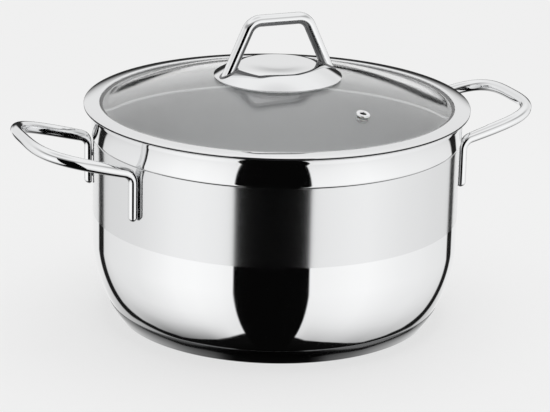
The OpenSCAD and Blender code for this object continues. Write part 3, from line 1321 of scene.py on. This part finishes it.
@dataclass
class LidAssembly:
    """Domed glass in its rolled band, with the vent and the bow handle.

    Attributes:
        channel_reach: How far the band's channel reaches in under the glass.
        droop: Fall of the band's crown towards its edge, over the width droop_w.
        curl: Height of the rounding at the crown's inner edge.
        return_w: Width of the edge that stands clear of the pot's lip.
        plate_dish: Height of the plate's crest above its middle.
        plate_drop: Fall from the crest to the plate's edge.
        plate_hollow: Fall of the plate's visible face from its crest to its middle.
        bush_room: Width from the screw to the edge of the hole in the glass.
        seat_gap: Gap that keeps touching parts apart.
    """

    pot: PotAssembly
    glass_t: float = 4.0
    dome_rise: float = 20.8
    flange_w: float = 9.0
    band_t: float = 0.7
    band_w: float = 11.0
    clearance: float = 0.6
    flange_top: float = 0.8
    bead_r: float = 0.95
    channel_reach: float = 7.5
    droop: float = 0.95
    droop_w: float = 9.0
    edge_r: float = 0.26
    overhang: float = 0.1
    curl: float = 0.45
    return_w: float = 1.5
    vent_radius: float = 84.0
    vent_angle: float = -71.0
    vent_bore: float = 4.0
    vent_wall: float = 0.7
    vent_lip: float = 1.0
    vent_inset: float = 0.6
    vent_flange_d: float = 9.6
    vent_gasket_t: float = 0.6
    plate_d: float = 87.0
    plate_t: float = 1.2
    plate_crest_r: float = 26.0
    plate_flat_r: float = 12.0
    plate_dish: float = 4.0
    plate_drop: float = 7.6
    plate_hollow: float = 0.3
    bow_d: float = 8.0
    bow_top: float = 62.8
    bow_foot: float = 35.5
    bow_corner: float = 20.0
    bow_bend: float = 10.0
    screw_d: float = 5.0
    screw_gap: float = 0.25
    bush_wall: float = 1.5
    bush_room: float = 3.0
    lower_t: float = 1.5
    washer_t: float = 1.0
    gasket_t: float = 1.2
    fix_d: float = 24.0
    seat_gap: float = 0.05
    rest: Matrix = field(init=False)
    web_out: float = field(init=False)
    glass_r: float = field(init=False)
    dome_r: float = field(init=False)
    dome_c: float = field(init=False)
    apex: float = field(init=False)
    plate_mid: float = field(init=False)

    def __post_init__(self) -> None:
        """Work out the sizes that follow from the others. Heights are above the pot's lip."""
        self.rest = Matrix.Translation((0, 0, self.pot.height))
        self.web_out = self.pot.throat_r - self.pot.wall_t - self.clearance
        self.glass_r = self.web_out - self.band_t - 0.2
        inner = self.glass_r - self.flange_w
        self.dome_r = (inner ** 2 + self.dome_rise ** 2) / (2 * self.dome_rise)
        self.dome_c = self.flange_top + self.dome_rise - self.dome_r
        self.apex = self.flange_top + self.dome_rise
        self.plate_mid = self.apex + self.gasket_t + self.plate_t

    def dome_z(self, radius: float) -> float:
        """Height of the glass's upper face at a radius."""
        return self.dome_c + math.sqrt(self.dome_r ** 2 - radius ** 2)

    def plate_z(self, radius: float) -> float:
        """Height of the plate's upper face at a radius.

        Args:
            radius: Distance from the axis.

        Returns:
            The height above the pot's lip.
        """
        if radius < self.plate_crest_r:
            rise = (radius - self.plate_flat_r) / (self.plate_crest_r - self.plate_flat_r)
            return self.plate_mid + self.plate_dish * (1 - (1 - max(0.0, rise)) ** 2.2)
        fall = (radius - self.plate_crest_r) / (self.plate_d / 2 - self.plate_crest_r)
        return self.plate_mid + self.plate_dish - self.plate_drop * fall ** 1.4

    def vent_place(self) -> Matrix:
        """Matrix of the vent's own frame, square to the glass.

        Returns:
            The matrix in millimetres.
        """
        turn = Matrix.Rotation(math.radians(self.vent_angle), 4, "Z")
        tilt = Matrix.Rotation(math.asin(self.vent_radius / self.dome_r), 4, "Y")
        place = Matrix.Translation((self.vent_radius, 0, self.dome_z(self.vent_radius)))
        return self.rest @ turn @ place @ tilt

    def build_glass(self, glass: Material) -> Object:
        """Turn the glass with its centre hole, then cut the vent's hole.

        Args:
            glass: Finish of the dome.

        Returns:
            The new object.
        """
        hole = self.screw_d / 2 + self.bush_room
        inner = self.glass_r - self.flange_w
        top = [(r, self.dome_z(r)) for r in spaced(hole, inner, 60)]
        ease = bezier(top[-2], (inner, self.flange_top), (inner + 1.5, self.flange_top), 5)
        top = top[:-2] + ease + [(self.glass_r, self.flange_top)]
        profile = rounded(sheet(top, -self.glass_t), 1.0, 5)
        piece = lathe("dome_glass", profile, [glass], place=self.rest)
        cutter = lathe("cutter", ring_profile(0.0, (self.vent_bore + 3) / 2,
                                              -2 * self.glass_t, self.glass_t), [],
                       64, self.vent_place())
        cut = piece.modifiers.new("vent_hole", "BOOLEAN")
        cut.operation = "DIFFERENCE"
        cut.solver = "EXACT"
        cut.object = cutter
        piece.data = applied(piece, cut)
        bpy.data.objects.remove(cutter)
        return piece

    def build_band(self, steel: Material, fold: Material) -> Object:
        """Turn the rolled band that holds the glass and rests on the lip.

        Args:
            steel: Finish of the band.
            fold: Painted shade in its folds.

        Returns:
            The new object.
        """
        outer_r = self.pot.lip_r + self.overhang
        crown = 2 * self.bead_r
        edge = (outer_r - self.edge_r, crown - self.droop - self.edge_r)
        bead = arc(edge, self.edge_r, 76, -90, 20)
        start = (bead[0][0] - self.droop_w, crown)
        pull = (mix(start[0], bead[0][0], 0.62), crown - 0.28 * self.droop)
        slope = bezier(start, pull, bead[0], 24)
        under = self.flange_top - self.glass_t
        inner = self.glass_r - self.channel_reach
        band_in = outer_r - self.band_w
        web_in = self.web_out - self.band_t
        top = bezier((band_in, crown - self.curl), (band_in + 0.1, crown), slope[0], 8)
        run = rounded_run([
            (outer_r - self.return_w, bead[-1][1]), (outer_r - self.return_w, 0.0),
            (self.web_out, 0.0), (self.web_out, under - self.band_t),
            (inner, under - self.band_t), (inner, under), (web_in, under),
            (web_in, self.flange_top)])
        profile = [(band_in, self.flange_top), *top, *slope[:-1], *bead, *run]

        def slot_of(spot: Point) -> int:
            """Slot of a face: 0 polished, 1 painted shade in the folds round the glass and on the
            lip.
            """
            at_glass = spot[0] < band_in + 0.3 and spot[1] < crown - 0.02
            in_channel = spot[0] < web_in + 0.02 and spot[1] < self.flange_top
            on_lip = self.web_out < spot[0] and spot[1] < edge[1] - 0.6 * self.edge_r
            return 1 if at_glass or in_channel or on_lip else 0

        return lathe("lid_ring", profile, [steel, fold], LARGE, self.rest, slot_of)

    def turn(self, name: str, node: str, profile: Path, slot: Slot,
             material: Material, place: Matrix) -> None:
        """Turn a small piece of the lid and dress it for its node.

        Args:
            name: Name of the piece.
            node: CAD node that it stands for.
            profile: Closed outline as (radius, height).
            slot: Material slot of the record.
            material: Its finish.
            place: Matrix in millimetres that puts it in its place.
        """
        dress(lathe(name, profile, [material], SMALL, place), Body.LID, slot, node)

    def build_vent(self, steel: Material, soft: Material) -> None:
        """Turn and dress the eyelet and its two gaskets.

        Args:
            steel: Finish of the eyelet.
            soft: Finish of the gaskets.
        """
        place = self.vent_place()
        bore = self.vent_bore / 2
        tube = bore + self.vent_wall
        flange, lip = self.vent_flange_d / 2, self.vent_lip
        top = self.vent_gasket_t + self.seat_gap
        foot = -self.glass_t - 2 * self.seat_gap - self.vent_gasket_t
        lead = bezier((bore, top - 0.2), (bore, top + lip), (bore + 0.9, top + lip), 8)
        run = rounded_run([(tube, top), (tube, foot), (flange - self.vent_inset, foot),
                           (flange - self.vent_inset, foot - lip)])
        profile = [(bore, foot - lip), *lead, *arc((flange - lip, top), lip, 90, 0, 10), *run]
        self.turn("vent_tube", "vent_eyelet", profile, Slot.POLISHED, steel, place)
        under = -self.glass_t - self.seat_gap - self.vent_gasket_t
        for name, node, low, inset in (("vent_seal_upper", "vent_gasket", self.seat_gap, 0.2),
                                       ("vent_seal_lower", "vent_washer", under, 0.5)):
            ring = ring_profile(tube + self.seat_gap, flange - inset, low,
                                low + self.vent_gasket_t)
            self.turn(name, node, rounded(ring, 0.2), Slot.SILICONE, soft, place)

    def build_plate(self, steel: Material) -> Object:
        """Turn the plate under the bow: dished below, all but flat across its middle.

        Args:
            steel: Finish of the plate.

        Returns:
            The new object.
        """
        edge = self.plate_d / 2
        path = [(0.0, self.plate_mid), (self.plate_flat_r / 2, self.plate_mid)]
        path += [(r, self.plate_z(r)) for r in spaced(self.plate_flat_r, edge, 72)]
        crest = self.plate_mid + self.plate_dish
        face = [(r, z if r > self.plate_crest_r else mix(
            crest, crest - self.plate_hollow, smooth(1.3 - 1.3 * r / self.plate_crest_r)))
            for r, z in path]
        profile = rounded(face + offset_path(path, -self.plate_t)[::-1], 0.5, 5)
        return lathe("dished_plate", profile, [steel], MEDIUM, self.rest)

    def on_plate(self, point: Vector, axis: Vector) -> Vector:
        """Where a line through a point meets the plate's upper face.

        Args:
            point: Point on the line, in millimetres.
            axis: The line's direction.

        Returns:
            The meeting point.
        """
        moved = point.copy()
        for _ in range(12):
            radius = math.hypot(moved.x, moved.y)
            gap = moved.z - self.pot.height - self.plate_z(radius)
            moved -= axis * (gap / axis.z)
        return moved

    def bow_heights(self) -> tuple[float, float]:
        """Heights of the bow's centre line along its top and at its feet."""
        return (self.pot.height + self.bow_top - self.bow_d / 2,
                self.pot.height + self.plate_z(self.bow_foot))

    def build_bow(self, steel: Material) -> Object:
        """Bend the bow and fit its feet to the plate.

        Args:
            steel: Finish of the bow.

        Returns:
            The new object.
        """
        top, foot = self.bow_heights()
        corners = [Vector((-self.bow_foot, 0, foot)), Vector((-self.bow_corner, 0, top)),
                   Vector((self.bow_corner, 0, top)), Vector((self.bow_foot, 0, foot))]
        mesh = RodTree().make("bow", corners, len(corners) - 1, steel, Rod_Radius=self.bow_d / 2,
                              Bend_Radius=self.bow_bend, Sides=64, Bend_Steps=24)
        for vertex in mesh.vertices:
            point = vertex.co / MM
            if point.z < foot + self.bow_d:
                side = math.copysign(1.0, point.x)
                axis = Vector((side * (self.bow_foot - self.bow_corner), 0, foot - top))
                vertex.co = self.on_plate(point, axis.normalized()) * MM
        return finish_mesh("bow", mesh, [steel])

    def build_bead(self, side: int, steel: Material) -> Object:
        """Run a fine weld bead round one foot of the bow.

        Args:
            side: -1 for the left foot, 1 for the right.
            steel: Finish of the bead.

        Returns:
            The new object.
        """
        top, low = self.bow_heights()
        foot = Vector((side * self.bow_foot, 0, low))
        axis = Vector((side * (self.bow_foot - self.bow_corner), 0, foot.z - top)).normalized()
        across = Vector((0, 1, 0))
        third = axis.cross(across)
        steps, ripples, lift = 72, 18, Vector((0, 0, 0.1))
        loop = []
        for turn in turns(steps):
            ripple = 0.05 * math.sin(ripples * turn)
            out = (self.bow_d / 2 + 0.15 + ripple) * (math.cos(turn) * across
                                                      + math.sin(turn) * third)
            loop.append(self.on_plate(foot + out, axis) + lift)
        name = "bow_bead_left" if side < 0 else "bow_bead_right"
        mesh = RodTree().make(name, loop, steps, steel, Rod_Radius=0.8, Bend_Radius=0.2,
                              Sides=16, Bend_Steps=1)
        return finish_mesh(name, mesh, [steel])

    def build_fixing(self, nodes: dict[str, Object], plain: Material, soft: Material) -> None:
        """Turn the gaskets and the washer, and coat the bush and the screw.

        Args:
            nodes: The frame's CAD nodes by name.
            plain: Finish of the steel fixings.
            soft: Finish of the gaskets.
        """
        bush = self.screw_d / 2 + self.bush_wall + self.seat_gap
        wide = self.fix_d / 2
        mount = self.screw_d / 2 + self.bush_room
        sleeve = self.glass_t - 1
        rim = self.apex + self.gasket_t - self.seat_gap
        upper = [(bush, self.apex - sleeve), (mount - 0.1, self.apex - sleeve),
                 (mount - 0.1, self.apex), (wide, self.apex), (wide, rim), (bush, rim)]
        low = self.apex - self.glass_t - self.screw_gap - self.lower_t
        lower = ring_profile(mount, wide, low, low + self.lower_t)
        washer = ring_profile(self.screw_d / 2 + self.screw_gap, wide - self.bush_wall,
                              low - self.washer_t, low)
        for name, node, profile, slot, finish, edge in (
                ("upper_seal", "upper_gasket", upper, Slot.SILICONE, soft, 0.3),
                ("lower_seal", "lower_gasket", lower, Slot.SILICONE, soft, 0.4),
                ("seal_washer", "screw_washer", washer, Slot.PLAIN, plain, 0.3)):
            self.turn(name, node, rounded(profile, edge), slot, finish, self.rest)
        coat(nodes["threaded_bush"], plain)
        coat(nodes["lid_screw"], plain)

    def build(self, nodes: dict[str, Object], made: dict[str, Material]) -> None:
        """Make and dress the lid's pieces.

        Args:
            nodes: The frame's CAD nodes by name.
            made: Finishes by use.
        """
        polished = made["polished"]
        dress(self.build_glass(made["glass"]), Body.LID, Slot.GLASS, "lid_glass")
        dress(self.build_band(polished, made["fold"]), Body.LID, Slot.POLISHED, "lid_band")
        self.build_vent(polished, made["soft"])
        dress(self.build_plate(polished), Body.LID, Slot.POLISHED, "handle_plate")
        dress(self.build_bow(made["bow"]), Body.LID, Slot.POLISHED, "lid_handle")
        for side, node in ((-1, "bow_weld_left"), (1, "bow_weld_right")):
            dress(self.build_bead(side, made["seam"]), Body.LID, Slot.PLAIN, node)
        self.build_fixing(nodes, made["plain"], made["soft"])


# ---- Studio -----------------------------------------------------------------

# The tent's curves, as (degrees, result) points in rising order. Bearings are taken from the
# camera's side, positive to its right, and dips below the horizon.

# Rail behind the pot by bearing: the dip of its middle, raised by RAIL_RAISE so that it is
# never below 0, and half its height.
RAIL_RAISE = 20.0
RAIL_MIDDLE = (
    (-180, 22.5), (-177.5, 24.3), (-176.3, 24), (-175.3, 23), (-173.6, 20.6), (-171.4, 17.3),
    (-169.5, 14.4), (-167.5, 12), (-160, 8), (160, 8), (166.5, 10.6), (167.7, 11.1),
    (169.6, 11.8), (171.8, 14.1), (173.6, 15.7), (175.3, 18.3), (176.6, 19.2), (180, 23.5))
RAIL_HALF = (
    (-180, 3.6), (-173, 3.4), (-171, 3.2), (-169.5, 2.6), (-167.6, 0), (-160, 0), (160, 0),
    (165.6, 0), (167, 3), (168, 3.6), (170, 3.3), (175, 3.6), (176.6, 4), (180, 4))
# Dip by bearing at which the floor begins.
FLOOR_EDGE = (
    (-180, 90), (-66, 90), (-60, 64.3), (-45, 63.0), (-35, 61), (-25, 58.5), (0, 58),
    (22, 61.6), (35, 64.6), (60, 65.4), (66, 90), (180, 90))
# Bearing by dip of the near and the far side of the dark seam between panels and floor.
SEAM_NEAR = (
    (-90, 138), (30, 138), (34, 137.2), (38, 133.7), (43, 128.1), (47, 121.5), (49.3, 118.5),
    (52, 114), (55, 108.2), (57.5, 104.2), (60, 96), (62, 86), (63.2, 76), (64, 66),
    (64.8, 52), (65.8, 0), (90, 0))
SEAM_FAR = (
    (-90, 148), (30, 148), (34, 146), (38, 142), (42, 135.5), (47, 128.5), (51, 123),
    (55, 119), (58, 117), (60.5, 113), (63, 108), (67, 98), (72, 92), (90, 88))
# Brightness of the panels by bearing, and the share of it that is left by dip.
PANEL = (
    (-180, 0.72), (-137, 0.77), (-125, 0.83), (-115, 0.85), (-105, 0.87), (-95, 0.89),
    (-85, 0.94), (-75, 0.99), (-65, 1.045), (-50, 1.065), (-35, 1.03), (-25, 0.97), (0, 0.95),
    (22, 0.965), (35, 1.0), (50, 1.04), (60, 1.05), (75, 1.0), (85, 0.965), (95, 0.94),
    (105, 0.92), (115, 0.89), (125, 0.87), (135, 0.85), (180, 0.8))
PANEL_FADE = (
    (-90, 1), (14, 1.03), (22, 1.01), (34, 0.97), (42, 0.93), (50, 0.9), (90, 0.9))
# Shade on the panels above their brink: its depth by bearing, the brink's dip by bearing to
# either side, and the share of the shade by degrees above the brink.
SHADE_DEPTH = (
    (-180, 0.2), (-135, 0.2), (-125, 0.35), (-115, 0.62), (-105, 0.8), (-85, 0.75),
    (-65, 0.68), (-45, 0.34), (-35, 0.12), (-25, 0), (22, 0.12), (30, 0.3), (45, 0.43),
    (75, 0.42), (95, 0.5), (115, 0.42), (125, 0.3), (135, 0.2), (180, 0.2))
BRINK = (
    (0, 62), (30, 62.5), (42, 64.5), (57, 64.5), (67, 64.3), (77, 63.4), (87, 62.1), (97, 60),
    (107, 56.5), (117, 51.5), (127, 45), (137, 35), (180, 35))
SHADE_SHARE = (
    (-90, 1), (0, 1), (4, 0.76), (8, 0.52), (13.5, 0.21), (18, 0.08), (24, 0), (90, 0))
# Share of the upper sky's brightness, the ground's brightness, both by dip, and the depth of
# the dark ceiling by bearing.
ABOVE = ((-90, 0.76), (-80, 0.78), (-66, 0.98), (-60, 1), (90, 1))
GROUND = (
    (-90, 0.9), (14, 0.9), (20, 0.88), (24, 0.86), (26, 0.77), (28, 0.7), (31, 0.61),
    (35, 0.55), (40, 0.47), (46, 0.38), (52, 0.3), (57, 0.21), (62, 0.15), (66, 0.12),
    (70, 0.09), (74, 0.02), (77, 0.003), (90, 0.002))
CEILING = (
    (-180, 0), (-125, 0.1), (-66, 0.6), (-30, 0.66), (0, 0.66), (25, 0.5), (50, 0.34),
    (65, 0.5), (95, 0.5), (130, 0.1), (180, 0))


@dataclass
class Studio:
    """Pale floor, soft light from above, a tent of panels and the camera.

    Attributes:
        dip: How far the camera looks down, in degrees.
        pale: Brightness of the background and of the floor.
        through: Brightness of what is seen through the glass.
        ambient: Brightness that lights surfaces that aren't polished.
        top: Brightness of the tent's upper half.
        back: Brightness of its upper half behind the pot.
        dark: Brightness of its dark parts.
        lift: Share of the floor's plain colour close to the pot.
        gap_left: Bearing of the left side of the gap between the panels.
        gap_right: Bearing of its right side.
        tent_turn: Bearing of the tent's middle.
    """

    look_from: Triple = (-0.6583, -1.5510, 0.6209)
    azimuth: float = -23.0
    dip: float = 17.97
    roll: float = 1.28
    lens: float = 168.57
    pale: float = 0.87
    through: float = 0.97
    ambient: float = 0.80
    top: float = 0.95
    back: float = 0.84
    dark: float = 0.002
    lift: float = 0.7
    gap_left: float = -24.8
    gap_right: float = 22.3
    tent_turn: float = 2.2
    seam_depth: float = 0.985
    flag_depth: float = 0.97
    lamp_at: Triple = (0.25, 0.2, 1.7)
    lamp_size: float = 1.4
    lamp_power: float = 9.0

    def build_camera(self) -> None:
        """Place the camera, level with its own slight roll."""
        a, e = math.radians(self.azimuth), math.radians(self.dip)
        back = Vector((math.sin(a) * math.cos(e), -math.cos(a) * math.cos(e), math.sin(e)))
        level = Vector((math.cos(a), math.sin(a), 0))
        above = back.cross(level)
        r = math.radians(self.roll)
        right = math.cos(r) * level + math.sin(r) * above
        up = math.cos(r) * above - math.sin(r) * level
        camera = bpy.data.objects.new("camera", bpy.data.cameras.new("camera"))
        camera.matrix_world = Matrix.Translation(self.look_from) @ Matrix(
            (right, up, back)).transposed().to_4x4()
        camera.data.sensor_width = 36
        camera.data.lens = self.lens
        bpy.context.scene.collection.objects.link(camera)
        bpy.context.scene.camera = camera

    def build_world(self) -> None:
        """Pale surroundings, with the tent's panels and gap seen by polished surfaces."""
        world = bpy.data.worlds.new("tent")
        world.use_nodes = True
        world.cycles.sampling_method = "NONE"
        bpy.context.scene.world = world
        world.node_tree.nodes.clear()
        graph = Graph(world.node_tree)
        x, y, z = graph.split(graph.add("ShaderNodeTexCoord").outputs["Generated"])
        degrees = 180 / math.pi
        bearing = graph.times(graph.math("ARCTAN2", x, graph.times(y, -1.0)), degrees)
        phi = self.wrapped(graph, bearing, -self.azimuth)
        dip = graph.times(graph.math("ARCSINE", z), -degrees)
        path = graph.add("ShaderNodeLightPath").outputs
        value = self.tent_value(graph, phi, dip, path["Is Singular Ray"])
        rail = self.rail(graph, phi, dip)
        value = graph.blend(graph.times(rail, path["Is Singular Ray"]), value, self.dark)
        seen = graph.most(path["Is Camera Ray"], path["Is Transmission Ray"])
        value = graph.blend(path["Is Glossy Ray"], self.ambient, value)
        behind = graph.blend(rail, self.through, self.dark)
        behind = graph.blend(path["Is Transmission Ray"], self.pale, behind)
        value = graph.blend(seen, value, behind)
        light = graph.add("ShaderNodeBackground", {"Color": value})
        graph.add("ShaderNodeOutputWorld", {0: light.outputs[0]})

    @staticmethod
    def rail(graph: Graph, phi: Socket, dip: Socket) -> Socket:
        """Share of a dark, arched rail behind the pot that only the glass shows.

        Args:
            graph: The world's graph.
            phi: Bearing from the camera's side, positive to its right, in degrees.
            dip: Angle below the horizon in degrees.

        Returns:
            The share, from 0 to 1.
        """
        arch = graph.curve(phi, 180, 90, RAIL_MIDDLE)
        half = graph.curve(phi, 180, 90, RAIL_HALF)
        raised = graph.math("ADD", dip, RAIL_RAISE)
        off = graph.size(graph.less(raised, arch))
        return graph.step(graph.less(off, half), -1.9, -0.1, 1.0, 0.0)

    @staticmethod
    def wrapped(graph: Graph, angle: Socket, shift: float) -> Socket:
        """Angle moved by a shift and kept between -180 and 180 degrees."""
        return graph.add("ShaderNodeMath", {0: graph.math("ADD", angle, shift), 1: 180.0,
                                            2: -180.0}, operation="WRAP").outputs[0]

    def tent_value(self, graph: Graph, phi: Socket, dip: Socket, sharp: Socket) -> Socket:
        """Brightness of the tent in a direction.

        Args:
            graph: The world's graph.
            phi: Bearing from the camera's side, positive to its right, in degrees.
            dip: Angle below the horizon in degrees.
            sharp: 1 for rays off glass, which doesn't see the flag behind the pot.

        Returns:
            The brightness: white panels to both sides, darker ground behind and below.
        """
        side = graph.size(self.wrapped(graph, phi, -self.tent_turn))
        inward = graph.less(graph.curve(dip, 90, 180, SEAM_NEAR), side)
        past_edge = graph.less(dip, graph.curve(phi, 180, 90, FLOOR_EDGE))
        past = graph.most(graph.step(past_edge, -1, 1), graph.step(inward, 1.2, -1.2))
        outward = graph.less(side, graph.curve(dip, 90, 180, SEAM_FAR))
        line = graph.times(past, graph.step(outward, -1.3, 1.3, 1.0, 0.0))
        wall = graph.times(graph.curve(phi, 180, 2, PANEL), graph.curve(dip, 90, 2, PANEL_FADE))
        height = graph.less(graph.curve(side, 180, 90, BRINK), dip)
        shade = graph.times(graph.curve(phi, 180, 1, SHADE_DEPTH),
                            graph.curve(height, 90, 1, SHADE_SHARE))
        panel = graph.times(wall, graph.less(1.0, shade))
        back = graph.times(graph.step(graph.size(phi), 90, 140), graph.step(dip, -40, -22))
        above = graph.times(graph.curve(dip, 90, 1, ABOVE),
                            graph.blend(back, self.top, self.back))
        panel = graph.blend(graph.step(dip, -8, 10), above, panel)
        value = graph.blend(graph.times(past, graph.step(dip, -2, 4)), panel,
                            graph.curve(dip, 90, 1, GROUND))
        seam = graph.times(line, graph.step(dip, 6, 12))
        gap = graph.between(phi, self.gap_left - 0.5, self.gap_left + 0.5,
                            self.gap_right - 0.5, self.gap_right + 0.5)
        gap = graph.times(gap, graph.step(dip, -42, -22))
        flag = graph.times(graph.step(graph.size(phi), 150, 164),
                           graph.between(dip, -15, -8, 12, 16))
        flag = graph.times(flag, graph.less(self.flag_depth, sharp))
        ceiling = graph.times(graph.curve(phi, 180, 1, CEILING),
                              graph.between(dip, -52, -38, -32, -14))
        dark = graph.most(graph.times(seam, self.seam_depth), gap)
        return graph.blend(graph.most(dark, graph.most(flag, ceiling)), value, self.dark)

    def build_floor(self) -> None:
        """Lay a wide pale floor that can be looked through from below."""
        mesh = bpy.data.meshes.new("floor")
        far, level = 12.0, -0.0004
        corners = ((-far, -far), (far, -far), (far, far), (-far, far))
        mesh.from_pydata([(x, y, level) for x, y in corners], [], [(0, 1, 2, 3)])
        floor = bpy.data.objects.new("floor", mesh)
        bpy.context.scene.collection.objects.link(floor)
        grey = (self.pale,) * 3
        material, graph, shader = new_material("floor", grey, Roughness=0.9,
                                               Specular_IOR_Level=0.0)
        length = graph.vector("LENGTH", graph.place()).outputs["Value"]
        far_off = graph.step(length, 0.1, 0.8, self.lift, 1.0)
        plain = graph.add("ShaderNodeEmission", {"Color": (*grey, 1)})
        path = graph.add("ShaderNodeLightPath").outputs
        seen = graph.most(path["Is Camera Ray"], path["Is Transmission Ray"])
        ground = graph.either(graph.times(far_off, seen), shader, plain)
        clear = graph.add("ShaderNodeBsdfTransparent")
        below = graph.add("ShaderNodeNewGeometry").outputs["Backfacing"]
        show(material, graph, graph.either(below, ground, clear))
        mesh.materials.append(material)
        floor.visible_glossy = False

    def build_lamp(self) -> None:
        """Hang one broad soft lamp overhead."""
        data = bpy.data.lights.new("overhead", "AREA")
        data.shape = "DISK"
        data.size = self.lamp_size
        data.energy = self.lamp_power
        lamp = bpy.data.objects.new("overhead", data)
        lamp.location = self.lamp_at
        lamp.rotation_euler = Vector(self.lamp_at).to_track_quat("Z", "Y").to_euler()
        lamp.visible_glossy = False
        lamp.visible_transmission = False
        bpy.context.scene.collection.objects.link(lamp)

    def build(self) -> None:
        """Set up the studio."""
        self.build_camera()
        self.build_world()
        self.build_floor()
        self.build_lamp()
        bpy.context.scene.view_settings.view_transform = "Standard"
        LOG.info("studio: camera, tent, floor and lamp")


def main() -> None:
    """Build the studio and the dressed pot."""
    logging.basicConfig(level=logging.INFO, format="%(name)s: %(message)s")
    Studio().build()
    pot = PotAssembly()
    handles = SideHandles(pot)
    finishes = {
        "outside": BandedSteel(low=pot.satin_low, high=pot.step_z),
        "polished": MirrorSteel(),
        "base": BaseSteel(seam=pot.cap_rise),
        "bow": FacingSteel(),
        "loops": LegSteel(elbow_z=handles.elbow_z),
        # Painted shade: a near-black steel for the band's folds and the lip beneath it.
        "fold": BrushedSteel("shadowed_fold", tint=(0.04, 0.04, 0.042), roughness=0.45),
        "lining": BrushedSteel("satin_lining", tint=(0.95, 0.955, 0.96), roughness=0.42,
                               grain=0.002, spread=0.03),
        "plain": BrushedSteel("plain_steel", tint=(0.66, 0.66, 0.67), roughness=0.3),
        # Painted shade: the weld bead's dark tint stands for the shade along the bow's feet.
        "seam": BrushedSteel("weld_seam_shade", tint=(0.22, 0.22, 0.225), roughness=0.35),
        "aluminium": BrushedSteel("aluminium", tint=(0.60, 0.62, 0.64), roughness=0.4),
        "glass": TemperedGlass(),
        "soft": Silicone(),
    }
    made = {use: finish.build() for use, finish in finishes.items()}
    nodes = frame["nodes"]
    pot.build(nodes, made)
    handles.build(made)
    LidAssembly(pot).build(nodes, made)


if __name__ == "__main__":
    main()
